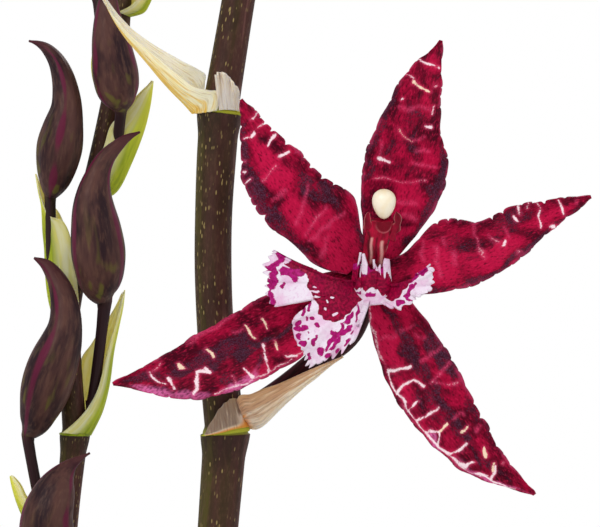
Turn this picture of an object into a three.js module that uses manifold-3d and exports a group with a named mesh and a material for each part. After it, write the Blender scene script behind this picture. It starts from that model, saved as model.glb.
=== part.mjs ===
// A potted colmanara orchid of the red massai kind: a clay pot of bark with three pseudobulbs, their strap leaves,
// one flower spike with three open blooms and one with closed buds. Millimetres, +Z up, front towards -Y.
// The origin is the middle of the pot's flat foot. The front bloom and the buds behind it are the ones measured.
import * as THREE from "three";
import { mergeVertices } from "three/addons/utils/BufferGeometryUtils.js";
import Module from "manifold-3d";

const wasm = await Module();
wasm.setup();

// Driving dimensions
const POT_HEIGHT = 120;
const POT_FOOT_RADIUS = 46;
const POT_TOP_RADIUS = 65;
const POT_RIM_HEIGHT = 22;
const POT_RIM_STEP = 3.5;
const POT_WALL = 5;
const POT_FLOOR = 7;
const DRAIN_RADIUS = 5;
const DRAIN_CIRCLE = 24;
const SEAT_GAP = 0.3;
const BARK_TOP = 101;
const BARK_CHIPS = 22;
const CHIP_LENGTH = 25;

const PETAL_THICKNESS = 0.7;
const BRACT_THICKNESS = 0.6;
const LEAF_THICKNESS = 1.3;
const KNOB_RADIUS = 2.2;
const TEPAL_ROOT_RADIUS = 2.55;
const FLOWER_CENTRE = [14, -75, 400.1];

// Spike joints: x, y, z and the stem's radius there. They zigzag as each flower pulls its joint to one side.
const FRONT_SPIKE = [
  [-24, -38, 88, 4.6],
  [-26.5, -44, 150, 4.3],
  [-25, -50, 206, 4.1],
  [-20.5, -55, 262, 3.9],
  [-15.2, -58.5, 318, 3.75],
  [-10.8, -60, 372.9, 3.6],
  [-11.8, -60, 427.8, 3.3],
  [-3.9, -61, 475, 2.9],
  [-7.5, -62, 517, 2.5],
  [-1.5, -61, 553, 2.1],
  [-4, -59.5, 582, 1.7],
  [-1, -58.5, 602, 1.2],
];
const FLOWER_JOINT = 5;
const BACK_SPIKE = [
  [-21, 45, 88, 3.9],
  [-27, 57, 155, 3.6],
  [-34, 66, 210, 3.4],
  [-41, 74, 262, 3.2],
  [-47.3, 79, 311.9, 3.0],
  [-49.5, 80, 338, 2.9],
  [-46.7, 80, 364.9, 2.8],
  [-48.4, 80, 390, 2.6],
  [-43.4, 81, 416.8, 2.4],
  [-37.4, 81, 444, 2.2],
  [-35.5, 80, 470, 1.9],
  [-30, 79, 493, 1.6],
  [-29, 77, 512, 1.2],
];

// Materials
const matt = (color, roughness) => new THREE.MeshStandardMaterial({ color, roughness, metalness: 0 });
const clay = matt(0xb8694a, 0.9);
const barkBrown = matt(0x6b4630, 0.95);
const bulbGreen = matt(0x7d8f3a, 0.5);
const leafGreen = matt(0x3f6b2a, 0.45);
const stemPurple = matt(0x4a3430, 0.5);
const bractTan = matt(0xd9a866, 0.8);
const bractGreen = matt(0xa3b32c, 0.5);
const budPurple = matt(0x4a2630, 0.5);
const crimson = matt(0x9c0f33, 0.5);
const lipPink = matt(0xf0c8e0, 0.5);
const columnRed = matt(0x8c1030, 0.4);
const capCream = matt(0xf6efd2, 0.3);

const plant = new THREE.Group();

// Adds one named piece to the plant.
function piece(name, geometry, material) {
  const mesh = new THREE.Mesh(geometry, material);
  mesh.name = name;
  plant.add(mesh);
  return mesh;
}

const lerp = (a, b, t) => a + (b - a) * t;
const radians = (degrees) => (degrees * Math.PI) / 180;
const vector = (list) => new THREE.Vector3(list[0], list[1], list[2]);

// A smooth curve (Catmull-Rom) through evenly spaced numbers, as a function of 0..1.
function through(values) {
  const last = values.length - 1;
  const value = (k) => values[Math.min(Math.max(k, 0), last)];
  return (t) => {
    const place = Math.min(Math.max(t, 0), 1) * last;
    const i = Math.min(Math.floor(place), last - 1);
    const f = place - i;
    const [a, b, c, d] = [value(i - 1), value(i), value(i + 1), value(i + 2)];
    return 0.5 * (2 * b + (c - a) * f + (2 * a - 5 * b + 4 * c - d) * f * f + (3 * b - 3 * c + d - a) * f * f * f);
  };
}

// The same through points [x, y, z].
function throughPoints(points) {
  const axes = [0, 1, 2].map((k) => through(points.map((p) => p[k])));
  return (t) => new THREE.Vector3(axes[0](t), axes[1](t), axes[2](t));
}

// A geometry from points and triangles.
function geometryOf(points, triangles) {
  const geometry = new THREE.BufferGeometry();
  geometry.setAttribute("position", new THREE.Float32BufferAttribute(points.flatMap((p) => [p.x, p.y, p.z]), 3));
  geometry.setIndex(triangles);
  return geometry;
}

// A closed mesh as a manifold solid, with its faces turned outwards.
function solidOf(geometry) {
  const bare = geometry.clone();
  bare.deleteAttribute("normal");
  bare.deleteAttribute("uv");
  const merged = mergeVertices(bare, 1e-4);
  const vertProperties = new Float32Array(merged.attributes.position.array);
  const triVerts = new Uint32Array(merged.index.array);
  const made = new wasm.Manifold(new wasm.Mesh({ numProp: 3, vertProperties, triVerts }));
  if (made.volume() > 0) return made;
  for (let i = 0; i < triVerts.length; i += 3) [triVerts[i + 1], triVerts[i + 2]] = [triVerts[i + 2], triVerts[i + 1]];
  return new wasm.Manifold(new wasm.Mesh({ numProp: 3, vertProperties, triVerts }));
}

// The largest body of a solid as a three.js geometry.
function meshOf(solid) {
  const bodies = solid.decompose().sort((a, b) => b.volume() - a.volume());
  const mesh = bodies[0].getMesh();
  const geometry = new THREE.BufferGeometry();
  const positions = new Float32Array(mesh.numVert * 3);
  for (let i = 0; i < mesh.numVert; i++) {
    positions.set(mesh.vertProperties.subarray(i * mesh.numProp, i * mesh.numProp + 3), i * 3);
  }
  geometry.setAttribute("position", new THREE.BufferAttribute(positions, 3));
  geometry.setIndex(new THREE.BufferAttribute(mesh.triVerts, 1));
  return geometry;
}

const fuse = (geometries) => meshOf(geometries.map(solidOf).reduce((a, b) => a.add(b)));

// A thin curved sheet with thickness: surface(u, v) gives its middle, for u from 0 to 1 and v from -1 to 1. Both faces
// are split into triangles alike, and the four edges are closed.
function blade(surface, thickness, rows, columns) {
  const faces = [[], []];
  const step = 1e-3;
  for (let i = 0; i <= rows; i++) {
    for (let j = 0; j <= columns; j++) {
      const u = i / rows;
      const v = (2 * j) / columns - 1;
      const along = surface(Math.min(u + step, 1), v).sub(surface(Math.max(u - step, 0), v));
      const across = surface(u, Math.min(v + step, 1)).sub(surface(u, Math.max(v - step, -1)));
      const normal = along.cross(across).normalize();
      const half = (typeof thickness === "function" ? thickness(u, v) : thickness) / 2;
      faces[0].push(surface(u, v).addScaledVector(normal, half));
      faces[1].push(surface(u, v).addScaledVector(normal, -half));
    }
  }
  const count = faces[0].length;
  const at = (i, j) => i * (columns + 1) + j;
  const triangles = [];
  for (let i = 0; i < rows; i++) {
    for (let j = 0; j < columns; j++) {
      const [a, b, c, d] = [at(i, j), at(i, j + 1), at(i + 1, j + 1), at(i + 1, j)];
      triangles.push(a, d, b, b, d, c);
      triangles.push(a + count, b + count, d + count, b + count, c + count, d + count);
    }
  }
  const close = (p, q) => triangles.push(p, q, p + count, q, q + count, p + count);
  for (let i = 0; i < rows; i++) {
    close(at(i + 1, 0), at(i, 0));
    close(at(i, columns), at(i + 1, columns));
  }
  for (let j = 0; j < columns; j++) {
    close(at(0, j), at(0, j + 1));
    close(at(rows, j + 1), at(rows, j));
  }
  return outward(geometryOf(faces[0].concat(faces[1]), triangles));
}

// A solid through closed rings of points, each ring with as many points as the next, and flat ends.
function loft(rings) {
  const sides = rings[0].length;
  const points = rings.flat();
  const triangles = [];
  rings.slice(1).forEach((_, i) => {
    for (let j = 0; j < sides; j++) {
      const next = (j + 1) % sides;
      const [a, b, c, d] = [i * sides + j, i * sides + next, (i + 1) * sides + next, (i + 1) * sides + j];
      triangles.push(a, b, d, b, c, d);
    }
  });
  const last = (rings.length - 1) * sides;
  for (let j = 1; j < sides - 1; j++) triangles.push(0, j + 1, j, last, last + j, last + j + 1);
  return outward(geometryOf(points, triangles));
}

// Turns a closed mesh's triangles so that its volume is positive.
function outward(geometry) {
  const p = geometry.attributes.position;
  const index = geometry.index.array;
  const [a, b, c] = [new THREE.Vector3(), new THREE.Vector3(), new THREE.Vector3()];
  let volume = 0;
  for (let i = 0; i < index.length; i += 3) {
    a.fromBufferAttribute(p, index[i]);
    b.fromBufferAttribute(p, index[i + 1]);
    c.fromBufferAttribute(p, index[i + 2]);
    volume += a.dot(b.cross(c));
  }
  if (volume < 0) for (let i = 0; i < index.length; i += 3) [index[i + 1], index[i + 2]] = [index[i + 2], index[i + 1]];
  return geometry;
}

// A round stem along a path: rings square to it, carried along without twisting, with radius(u).
function stem(path, radius, steps, sides, flat = 1) {
  const rings = [];
  let side = null;
  for (let i = 0; i <= steps; i++) {
    const u = i / steps;
    const along = path(Math.min(u + 1e-3, 1)).sub(path(Math.max(u - 1e-3, 0))).normalize();
    side = side ?? new THREE.Vector3(0.37, 0.91, 0.17).cross(along).normalize();
    side.addScaledVector(along, -side.dot(along)).normalize();
    const other = along.clone().cross(side);
    const centre = path(u);
    rings.push(
      Array.from({ length: sides }, (_, j) => {
        const angle = (2 * Math.PI * j) / sides;
        return centre
          .clone()
          .addScaledVector(side, radius(u) * Math.cos(angle))
          .addScaledVector(other, radius(u) * flat * Math.sin(angle));
      }),
    );
  }
  return loft(rings);
}

// The pot: a tapered clay wall with a thick rim, a flat foot and three drain holes round its middle.
const POT_SIDES = 36;
const wallSlope = (POT_TOP_RADIUS - POT_RIM_STEP - POT_FOOT_RADIUS) / (POT_HEIGHT - POT_RIM_HEIGHT);
const potInside = (z) => POT_FOOT_RADIUS - POT_WALL + wallSlope * Math.min(z, POT_HEIGHT);

function pot() {
  const shoulder = POT_HEIGHT - POT_RIM_HEIGHT;
  const outline = [
    [0, 0],
    [POT_FOOT_RADIUS - 1.5, 0],
    [POT_FOOT_RADIUS, 1.5],
    [POT_TOP_RADIUS - POT_RIM_STEP, shoulder],
    [POT_TOP_RADIUS - 0.8, shoulder + 1],
    [POT_TOP_RADIUS, shoulder + 3],
    [POT_TOP_RADIUS, POT_HEIGHT - 2],
    [POT_TOP_RADIUS - 1.5, POT_HEIGHT],
    [potInside(POT_HEIGHT) + 1, POT_HEIGHT],
    [potInside(POT_HEIGHT), POT_HEIGHT - 2],
    [potInside(POT_FLOOR), POT_FLOOR],
    [0, POT_FLOOR],
  ];
  const body = new THREE.LatheGeometry(outline.map(([r, z]) => new THREE.Vector2(r, z)), POT_SIDES);
  body.rotateX(Math.PI / 2);
  let solid = solidOf(body);
  for (let k = 0; k < 3; k++) {
    const angle = (k * 2 * Math.PI) / 3 + Math.PI / 6;
    const drain = new THREE.CylinderGeometry(DRAIN_RADIUS, DRAIN_RADIUS, 3 * POT_FLOOR, 16).rotateX(Math.PI / 2);
    drain.translate(DRAIN_CIRCLE * Math.cos(angle), DRAIN_CIRCLE * Math.sin(angle), 0);
    solid = solid.subtract(solidOf(drain));
  }
  return meshOf(solid);
}

// A repeatable stream of numbers from 0 to 1.
function randomStream(seed) {
  let state = seed;
  return () => {
    state = (state * 1664525 + 1013904223) % 4294967296;
    return state / 4294967296;
  };
}

// The space inside the pot up to a height, less the seat gap.
function filling(top) {
  const outline = [
    [0, POT_FLOOR + SEAT_GAP],
    [potInside(POT_FLOOR) - SEAT_GAP, POT_FLOOR + SEAT_GAP],
    [potInside(top) - SEAT_GAP, top],
    [0, top],
  ];
  const body = new THREE.LatheGeometry(outline.map(([r, z]) => new THREE.Vector2(r, z)), POT_SIDES);
  return solidOf(body.rotateX(Math.PI / 2));
}

// The bark: a packed bed with coarse chips lying on and in its top, with a plain hole for whatever stands in it.
function bark(holes) {
  const random = randomStream(7);
  let chips = filling(BARK_TOP);
  for (let k = 0; k < BARK_CHIPS; k++) {
    const angle = 2.399963 * k;
    const radius = (potInside(BARK_TOP) - 6) * Math.sqrt((k + 0.5) / BARK_CHIPS);
    const size = CHIP_LENGTH * (0.65 + 0.5 * random());
    const chip = new THREE.BoxGeometry(size, size * (0.5 + 0.25 * random()), size * 0.36);
    chip.rotateX(0.7 * (random() - 0.5)).rotateY(0.7 * (random() - 0.5)).rotateZ(2 * Math.PI * random());
    chip.translate(radius * Math.cos(angle), radius * Math.sin(angle), BARK_TOP + 0.5 + 2.2 * random());
    chips = chips.add(solidOf(chip));
  }
  chips = chips.intersect(filling(POT_HEIGHT));
  return meshOf(holes.reduce((left, hole) => left.subtract(solidOf(hole)), chips));
}

// Pseudobulbs stand in the bark in a row from front to back: centre, height, half width and half depth.
const BULB_FOOT = BARK_TOP - 9;
const BULBS = [
  { name: "pseudobulb_front", centre: [2, -22], height: 82, wide: 20, deep: 12.5, ridges: 0.012, turn: 6 },
  { name: "pseudobulb_middle", centre: [6, 6], height: 76, wide: 19, deep: 11.5, ridges: 0.025, turn: -8 },
  { name: "pseudobulb_back", centre: [4, 33], height: 68, wide: 18.5, deep: 11, ridges: 0.035, turn: 10 },
];
const bulbOutline = through([0.62, 0.86, 0.98, 1, 0.95, 0.84, 0.68, 0.5, 0.33]);

function pseudobulb({ centre, height, wide, deep, ridges, turn }, grow = 0) {
  const sides = 14;
  const steps = 7;
  const rings = [];
  for (let i = 0; i <= steps; i++) {
    const u = i / steps;
    rings.push(
      Array.from({ length: sides }, (_, j) => {
        const angle = (2 * Math.PI * j) / sides;
        const size = bulbOutline(u) * (1 + ridges * Math.cos(7 * angle));
        const x = (wide * size + grow) * Math.cos(angle);
        const y = (deep * size + grow) * Math.sin(angle);
        const [c, s] = [Math.cos(radians(turn)), Math.sin(radians(turn))];
        const z = BULB_FOOT + height * u - (i === 0 ? grow : 0);
        return new THREE.Vector3(centre[0] + c * x - s * y, centre[1] + s * x + c * y, z);
      }),
    );
  }
  return loft(rings);
}

// A strap leaf: its midrib starts at base, leans from lean[0] to lean[1] degrees off upright towards azimuth, and
// its two halves fold up from the keel, steeply at the foot and hardly at all further out.
const LEAF_FOLD = 50;
const leafOutline = through([0.42, 0.52, 0.72, 0.9, 1, 0.97, 0.88, 0.7, 0.42, 0.03]);

function leafSurface({ base, azimuth, swing, length, width, lean }) {
  const direction = (u) => {
    const off = radians(lerp(lean[0], lean[1], Math.sign(u) * Math.abs(u) ** 1.5));
    const heading = radians(azimuth + swing * u * u);
    return new THREE.Vector3(Math.cos(heading) * Math.sin(off), Math.sin(heading) * Math.sin(off), Math.cos(off));
  };
  const midrib = (u) => {
    const parts = 48;
    const sum = vector(base);
    for (let k = 0; k < parts; k++) sum.addScaledVector(direction((u * (k + 0.5)) / parts), (u * length) / parts);
    return sum;
  };
  return (u, v) => {
    const along = direction(u);
    const heading = radians(azimuth + swing * u * u);
    const across = new THREE.Vector3(-Math.sin(heading), Math.cos(heading), 0);
    const upper = along.clone().cross(across);
    const opening = Math.min(Math.max(u / 0.3, 0), 1);
    const rise = radians(lerp(LEAF_FOLD, 13, opening * opening * (3 - 2 * opening)));
    const half = (width / 2) * leafOutline(Math.max(u, 0));
    const ripple = 1.1 * v * v * Math.sin(17 * u + 2 * v) * Math.min(1, 4 * u * (1 - u));
    return midrib(u)
      .addScaledVector(across, half * v * Math.cos(rise))
      .addScaledVector(upper, half * Math.abs(v) * Math.sin(rise) + ripple);
  };
}

const leafThickness = (u) => lerp(1, 0.65, u) * LEAF_THICKNESS;
const leaf = (form) => blade(leafSurface(form), leafThickness, 11, 4);

// The foot of a basal leaf, a little larger all round, for its hole in the bark.
function leafHole(form) {
  const surface = leafSurface(form);
  const [from, to] = [-0.5 / form.length, 40 / form.length];
  return blade((u, v) => surface(lerp(from, to, u), 1.07 * v), LEAF_THICKNESS + 0.9, 2, 4);
}

// Where each leaf grows: basal leaves stand in the bark at the bulbs' edges, top leaves on the bulbs' tips.
const foot = (x, y) => [x, y, BARK_TOP - 6];
const topOf = ({ centre, height }) => [...centre, BULB_FOOT + height + SEAT_GAP + 0.4];
const LEAVES = {
  leaf_front_left: { base: foot(-24, -23), azimuth: 196, swing: -14, length: 262, width: 33, lean: [4, 96] },
  leaf_front_right: { base: foot(27.5, -19), azimuth: -22, swing: -10, length: 250, width: 34, lean: [5, 88] },
  leaf_middle_left: { base: foot(-17.5, 8), azimuth: 172, swing: -8, length: 288, width: 31, lean: [2, 74] },
  leaf_middle_right: { base: foot(29.5, 4), azimuth: 12, swing: 12, length: 276, width: 33, lean: [3, 84] },
  leaf_back_left: { base: foot(-20.5, 28), azimuth: 158, swing: 6, length: 240, width: 30, lean: [3, 100] },
  leaf_back_right: { base: foot(28.5, 36), azimuth: 40, swing: 2, length: 246, width: 32, lean: [4, 92] },
  leaf_top_front: { base: topOf(BULBS[0]), azimuth: -38, swing: -18, length: 205, width: 30, lean: [6, 84] },
  leaf_top_middle: { base: topOf(BULBS[1]), azimuth: 25, swing: 16, length: 196, width: 29, lean: [4, 70] },
  leaf_top_back: { base: topOf(BULBS[2]), azimuth: 96, swing: -14, length: 186, width: 27, lean: [6, 92] },
};
const BASAL_LEAVES = Object.values(LEAVES).slice(0, 6);

// A flower spike: a slim stem that swells at each joint, with the point at place t, counted in joints.
function spikePoint(joints, t) {
  const i = Math.min(Math.max(Math.floor(t), 0), joints.length - 2);
  const f = t - i;
  const bow = 4 * f * (1 - f) * (joints[i][4] ?? 0);
  return vector(joints[i]).lerp(vector(joints[i + 1]), f).add(new THREE.Vector3(bow, 0, 0));
}

function spikeRadius(joints, t) {
  const i = Math.min(Math.floor(t), joints.length - 2);
  const f = t - i;
  return lerp(0.96 * joints[i][3], 1.05 * joints[i + 1][3], f);
}

const JOINT_SWELL = 1.13;

function spikeAxis(joints, t) {
  return spikePoint(joints, t + 0.06).sub(spikePoint(joints, t - 0.06)).normalize();
}

// The bare joints at the foot of a spike keep a tight sheath: its height, its thickness and how much its top slants.
const SHEATH = { height: 21, thickness: 0.7, slant: 5 };

function spike(joints, sides, sheathed = [], grow = 0, last = joints.length - 1) {
  const rings = [];
  const ring = (t, radius, slant = 0) => {
    const along = spikeAxis(joints, t);
    const side = new THREE.Vector3(1, 0, 0).addScaledVector(along, -along.x).normalize();
    const other = along.clone().cross(side);
    const centre = spikePoint(joints, t);
    rings.push(
      Array.from({ length: sides }, (_, j) => {
        const angle = (2 * Math.PI * j) / sides;
        return centre
          .clone()
          .addScaledVector(side, (radius + grow) * Math.cos(angle))
          .addScaledVector(other, (radius + grow) * Math.sin(angle))
          .addScaledVector(along, slant * Math.cos(angle));
      }),
    );
  };
  ring(-grow / 40, joints[0][3]);
  for (let i = 0; i < last; i++) {
    const length = spikePoint(joints, i + 1).distanceTo(spikePoint(joints, i));
    if (sheathed.includes(i)) {
      const top = i + SHEATH.height / length;
      const slant = i % 2 === 0 ? SHEATH.slant : -SHEATH.slant;
      ring(i + 0.03, spikeRadius(joints, i + 0.03) + 1.3 * SHEATH.thickness);
      ring(top, spikeRadius(joints, top) + SHEATH.thickness, slant);
      ring(top + 0.01, spikeRadius(joints, top), slant);
    } else {
      ring(i + 0.05, spikeRadius(joints, i + 0.05));
    }
    ring(i + 0.94, spikeRadius(joints, i + 0.94));
    ring(i + 1, i === joints.length - 2 ? 0.4 : JOINT_SWELL * joints[i + 1][3]);
  }
  return loft(rings);
}

// The frame at a joint: the stem's axis, the way out towards azimuth, and the way round.
function jointFrame(joints, joint, azimuth, above) {
  const axis = spikeAxis(joints, joint);
  const heading = radians(azimuth);
  const out = new THREE.Vector3(Math.cos(heading), Math.sin(heading), 0);
  out.addScaledVector(axis, -out.dot(axis)).normalize();
  const round = axis.clone().cross(out);
  const centre = vector(joints[joint]).addScaledVector(axis, above);
  return { axis, out, round, centre, radius: JOINT_SWELL * joints[joint][3] + SEAT_GAP };
}

// Where a stalk leaves the stem, a little above a joint and just clear of it, with the way out.
function stalkRoot(joints, joint, azimuth, above) {
  const length = spikePoint(joints, joint + 1).distanceTo(spikePoint(joints, joint));
  const place = joint + above / length;
  const heading = radians(azimuth);
  const out = new THREE.Vector3(Math.cos(heading), Math.sin(heading), 0);
  const reach = Math.max(spikeRadius(joints, place), 1) + SEAT_GAP + 0.35;
  return { out, root: spikePoint(joints, place).addScaledVector(out, reach) };
}

// The low ring round a joint that a bract grows from.
function collar({ radius, axis, centre }) {
  const section = [
    [radius, -0.1],
    [radius + 0.9, -0.1],
    [radius + 0.9, 1.9],
    [radius, 1.9],
    [radius, -0.1],
  ];
  const ring = new THREE.LatheGeometry(section.map(([r, z]) => new THREE.Vector2(r, z)), 10).rotateX(Math.PI / 2);
  const turn = new THREE.Quaternion().setFromUnitVectors(new THREE.Vector3(0, 0, 1), axis);
  return ring.applyQuaternion(turn).translate(...centre.toArray());
}

// A bract: a low collar round the joint, and a boat-shaped blade that leaves it on one side. The keel swings out by
// reach and up by height, and the blade's curved section, wrap degrees each way, shrinks to a point along it. The flap
// is the part of its foot still wrapped round the stem, between two angles from the keel, with its height along them.
function bract({ joints, joint, azimuth, reach, height, wrap = 88, flap = null, sunk = 0, grid = [5, 4] }) {
  const frame = jointFrame(joints, joint, azimuth, sunk ? -1.3 : 0.4);
  frame.radius -= sunk;
  const middle = frame.radius + 0.45;
  const onRing = (angle, up) =>
    frame.centre
      .clone()
      .addScaledVector(frame.axis, up)
      .addScaledVector(frame.out, middle * Math.cos(angle))
      .addScaledVector(frame.round, middle * Math.sin(angle));
  const keel = (u) =>
    onRing(0, 0.9)
      .addScaledVector(frame.out, reach * lerp(u, Math.sin((Math.PI / 2) * u), 0.6))
      .addScaledVector(frame.axis, height * u);
  const size = (u) => 0.94 * (1 - u) ** 0.62 * (1 + 0.45 * u) + 0.06;
  const boat = (u, v) => {
    const along = keel(Math.min(u + 0.01, 1)).sub(keel(u - 0.01)).normalize();
    along.lerp(frame.axis, Math.max(0, 1 - u / 0.15)).normalize();
    const outwards = frame.out.clone().addScaledVector(along, -frame.out.dot(along)).normalize();
    const angle = radians(wrap) * v;
    return keel(u)
      .addScaledVector(outwards, middle * size(u) * (Math.cos(angle) - 1))
      .addScaledVector(frame.round, middle * size(u) * Math.sin(angle));
  };
  const parts = [blade(boat, BRACT_THICKNESS, ...grid)];
  if (!sunk) parts.push(collar(frame));
  if (flap) {
    const tall = through(flap.heights);
    const wall = (u, v) => {
      const w = (v + 1) / 2;
      return onRing(radians(lerp(flap.from, flap.to, w)), 0.9 + u * tall(w));
    };
    parts.push(blade(wall, BRACT_THICKNESS, 2, 4));
  }
  return fuse(parts);
}

// A bud on its short stalk: one solid, round with three low seams, slim at the stalk and drawn to a bent tip.
const BUD_SIDES = 8;
const budOutline = through([0.2, 0.62, 0.9, 1, 0.97, 0.84, 0.62, 0.38, 0.2, 0.06]);

function bud({ joints, joint, azimuth, above = 6, foot, tip, bulge, radius, stalk = 1.2 }) {
  const { out, root } = stalkRoot(joints, joint, azimuth, above);
  const [start, end] = [vector(foot), vector(tip)];
  const elbow = root.clone().addScaledVector(out, 1.5).add(new THREE.Vector3(0, 0, 2.2));
  const body = (u) => start.clone().lerp(end, u).addScaledVector(vector(bulge), 4 * u * (1 - u));
  const rings = [];
  const ring = (centre, along, size, seams) => {
    const side = new THREE.Vector3(0, 1, 0).addScaledVector(along, -along.y).normalize();
    const other = along.clone().cross(side);
    rings.push(
      Array.from({ length: BUD_SIDES }, (_, j) => {
        const angle = (2 * Math.PI * j) / BUD_SIDES;
        const r = size * (1 + seams * Math.cos(3 * angle));
        return centre
          .clone()
          .addScaledVector(side, r * Math.cos(angle))
          .addScaledVector(other, r * Math.sin(angle));
      }),
    );
  };
  const stalkPath = throughPoints([root, elbow, start].map((p) => p.toArray()));
  for (const u of [0, 0.3, 0.6]) {
    const along = u === 0 ? out.clone() : stalkPath(u + 0.02).sub(stalkPath(u - 0.02)).normalize();
    ring(stalkPath(u), along, stalk, 0);
  }
  for (let i = 0; i <= 7; i++) {
    const u = i / 7;
    const along = body(Math.min(u + 0.02, 1)).sub(body(Math.max(u - 0.02, 0))).normalize();
    ring(body(u), along, Math.max(radius * budOutline(u), i === 0 ? stalk : 0.3), 0.05);
  }
  return loft(rings);
}

// The tepals of a bloom in its own frame: x to the right, z up, y away from whoever faces it. Each has its length and
// its angle from x, how far its left and right margins lie from its axis at even steps from the bloom's middle to
// its tip, how far back its midline runs, how hollow it is, and the ripple of its margins.
const TEPALS = {
  dorsal_sepal: {
    length: 40.8,
    angle: 73.6,
    left: [1.6, 3.5, 5.9, 6.6, 5.6, 3.9, 0.3],
    right: [1.6, 4.5, 6.9, 7, 3.6, 2, 0.3],
    back: [0.6, -0.5, -2, -2, 0.5],
    hollow: 0.8,
    ripple: 0.25,
    waves: 3,
  },
  left_petal: {
    length: 36.4,
    angle: 126.8,
    left: [1.6, 6.1, 7.5, 8.8, 8.1, 4.6, 0.3],
    right: [1.6, 2.6, 5.2, 3.1, 2.2, 0.9, 0.3],
    back: [-0.9, -1.5, -2.5, -3, -2],
    hollow: 0.3,
    ripple: 0.7,
    waves: 3.5,
  },
  right_petal: {
    length: 38.6,
    angle: 19.7,
    left: [1.6, 1.6, 4.6, 2.4, 2.6, 1.6, 0.3],
    right: [1.6, 5.7, 7, 6.9, 4.8, 2.4, 0.3],
    back: [-0.9, -1.5, -2.5, -3, -2],
    hollow: 0.3,
    ripple: 0.7,
    waves: 3.5,
  },
  left_sepal: {
    length: 47.1,
    angle: 202.9,
    left: [1.6, 5.2, 7.9, 8.6, 8.5, 5.6, 0.3],
    right: [1.6, 3.4, 3.7, 3, 2, 0.8, 0.3],
    back: [0.6, -0.5, -1, 0, 3],
    hollow: 1.1,
    ripple: 0.3,
    waves: 3,
  },
  right_sepal: {
    length: 45.9,
    angle: -53.4,
    left: [1.6, 2.5, 2.6, 1.6, 0.4, -0.5, 0.3],
    right: [1.6, 5.7, 8.4, 9.2, 8.4, 5.8, 0.3],
    back: [0.6, -0.5, -1, 0, 3],
    hollow: 1.1,
    ripple: 0.3,
    waves: 3,
  },
};

function tepalSurface({ length, angle, left, right, back, hollow, ripple, waves }, root) {
  const [x, z] = [Math.cos(radians(angle)), Math.sin(radians(angle))];
  const [leftEdge, rightEdge, depth] = [through(left), through(right), through(back)];
  return (u, v) => {
    const reach = lerp(root, length, u);
    const place = reach / length;
    const side = ((v + 1) / 2) * leftEdge(place) + ((v - 1) / 2) * rightEdge(place);
    const groove = hollow * (1 - Math.abs(v) ** 1.5) * Math.sin(Math.PI * u) ** 0.8;
    const wave = ripple * Math.abs(v) ** 3 * Math.sin(2 * Math.PI * waves * u + 2 * v) * Math.sin(Math.PI * u);
    return new THREE.Vector3(x * reach - z * side, depth(u) + groove + wave, z * reach + x * side);
  };
}

// The lip spreads like a fan from its root: the angle and reach of its margin, from the tip of one side lobe round the
// middle lobe to the other. It comes forward as it leaves the column, then its outer parts roll back.
const LIP_ROOT = [0, -2.1, -1.4];
const LIP_ROOT_RADIUS = 0.95;
const LIP_FORWARD = 7.8;
const LIP_MARGIN = [
  [-197, 16.9], [-195, 17.4], [-187.4, 18], [-181.6, 17.3], [-177.6, 17.5], [-170.6, 17.3], [-166, 16.3],
  [-163.5, 10.7], [-159, 12.5], [-155, 14.3], [-150.5, 15.2], [-142, 16], [-136, 16.1], [-131, 16.8], [-127, 17.3],
  [-122.5, 15.2], [-116, 13], [-110, 10.3], [-109, 6.7], [-106, 3.2], [-82, 3.3], [-59, 4.1], [-46, 5.7],
  [-25, 7.2], [-17, 7.2], [-10, 9], [0, 9.8], [9, 9.7], [17, 9.8],
];

function lipSurface(u, v) {
  const place = (v + 1) / 2;
  const angle = radians(through(LIP_MARGIN.map(([degrees]) => degrees))(place));
  const reach = through(LIP_MARGIN.map(([, length]) => length))(place);
  const [from, to] = [LIP_ROOT_RADIUS, reach];
  const sag = 5.2 * u * (1 - u) * (Math.max(0, 1 - place / 0.12) + Math.max(0, 1 - (1 - place) / 0.12));
  const x = lerp(from, to, u) * Math.cos(angle);
  const z = lerp(from, to, u) * Math.sin(angle) + lerp(LIP_ROOT[2], LIP_ROOT[2] + 0.2, u) - sag;
  const out = Math.hypot(x, z - LIP_ROOT[2]) - LIP_ROOT_RADIUS;
  const forward = LIP_FORWARD * Math.sin((Math.PI / 2) * Math.min(out / 8, 1));
  const ruffle = 0.55 * u ** 3 * Math.sin(2 * Math.PI * 9 * place);
  return new THREE.Vector3(x, LIP_ROOT[1] - forward + 0.06 * Math.max(out - 8, 0) ** 2 + ruffle, z);
}

// The crest on the lip's foot: a low wall sunk in the lip, bowed round the column's foot, with five blunt teeth.
function crestSurface(u, v) {
  const tooth = Math.cos(5 * Math.PI * v) ** 2;
  const tall = u * lerp(6.4, 9.4 - 1.2 * v, tooth);
  return new THREE.Vector3(v * lerp(1.4, 3.1, u), -4.5 + 0.9 * v * v - 0.37 * tall, -4.7 + 0.9 * v * v + 0.9 * tall);
}

// The column leans forward over the lip, oval in section, with a small wing each side below the cap.
const COLUMN = [
  { centre: [0, -1.8, 1.1], tilt: 90, wide: 1.3, deep: 1.2 },
  { centre: [0.1, -3.4, 2.3], tilt: 52, wide: 1.7, deep: 1.4 },
  { centre: [0.5, -4.9, 4.9], tilt: 26, wide: 2, deep: 1.6 },
  { centre: [1.1, -5.9, 7.4], tilt: 20, wide: 2.15, deep: 1.7 },
  { centre: [1.5, -6.6, 9], tilt: 20, wide: 1.8, deep: 1.5 },
];
const CAP_CENTRE = [1.8, -7.3, 11.8];
const CAP_SIZE = [2.15, 1.9, 2.5];

function columnRing({ centre, tilt, wide, deep }, sides = 10) {
  const [c, s] = [Math.cos(radians(tilt)), Math.sin(radians(tilt))];
  return Array.from({ length: sides }, (_, j) => {
    const angle = (2 * Math.PI * j) / sides;
    const [x, y] = [wide * Math.cos(angle), deep * Math.sin(angle)];
    return vector(centre).add(new THREE.Vector3(x, y * c, y * s));
  });
}

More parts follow.
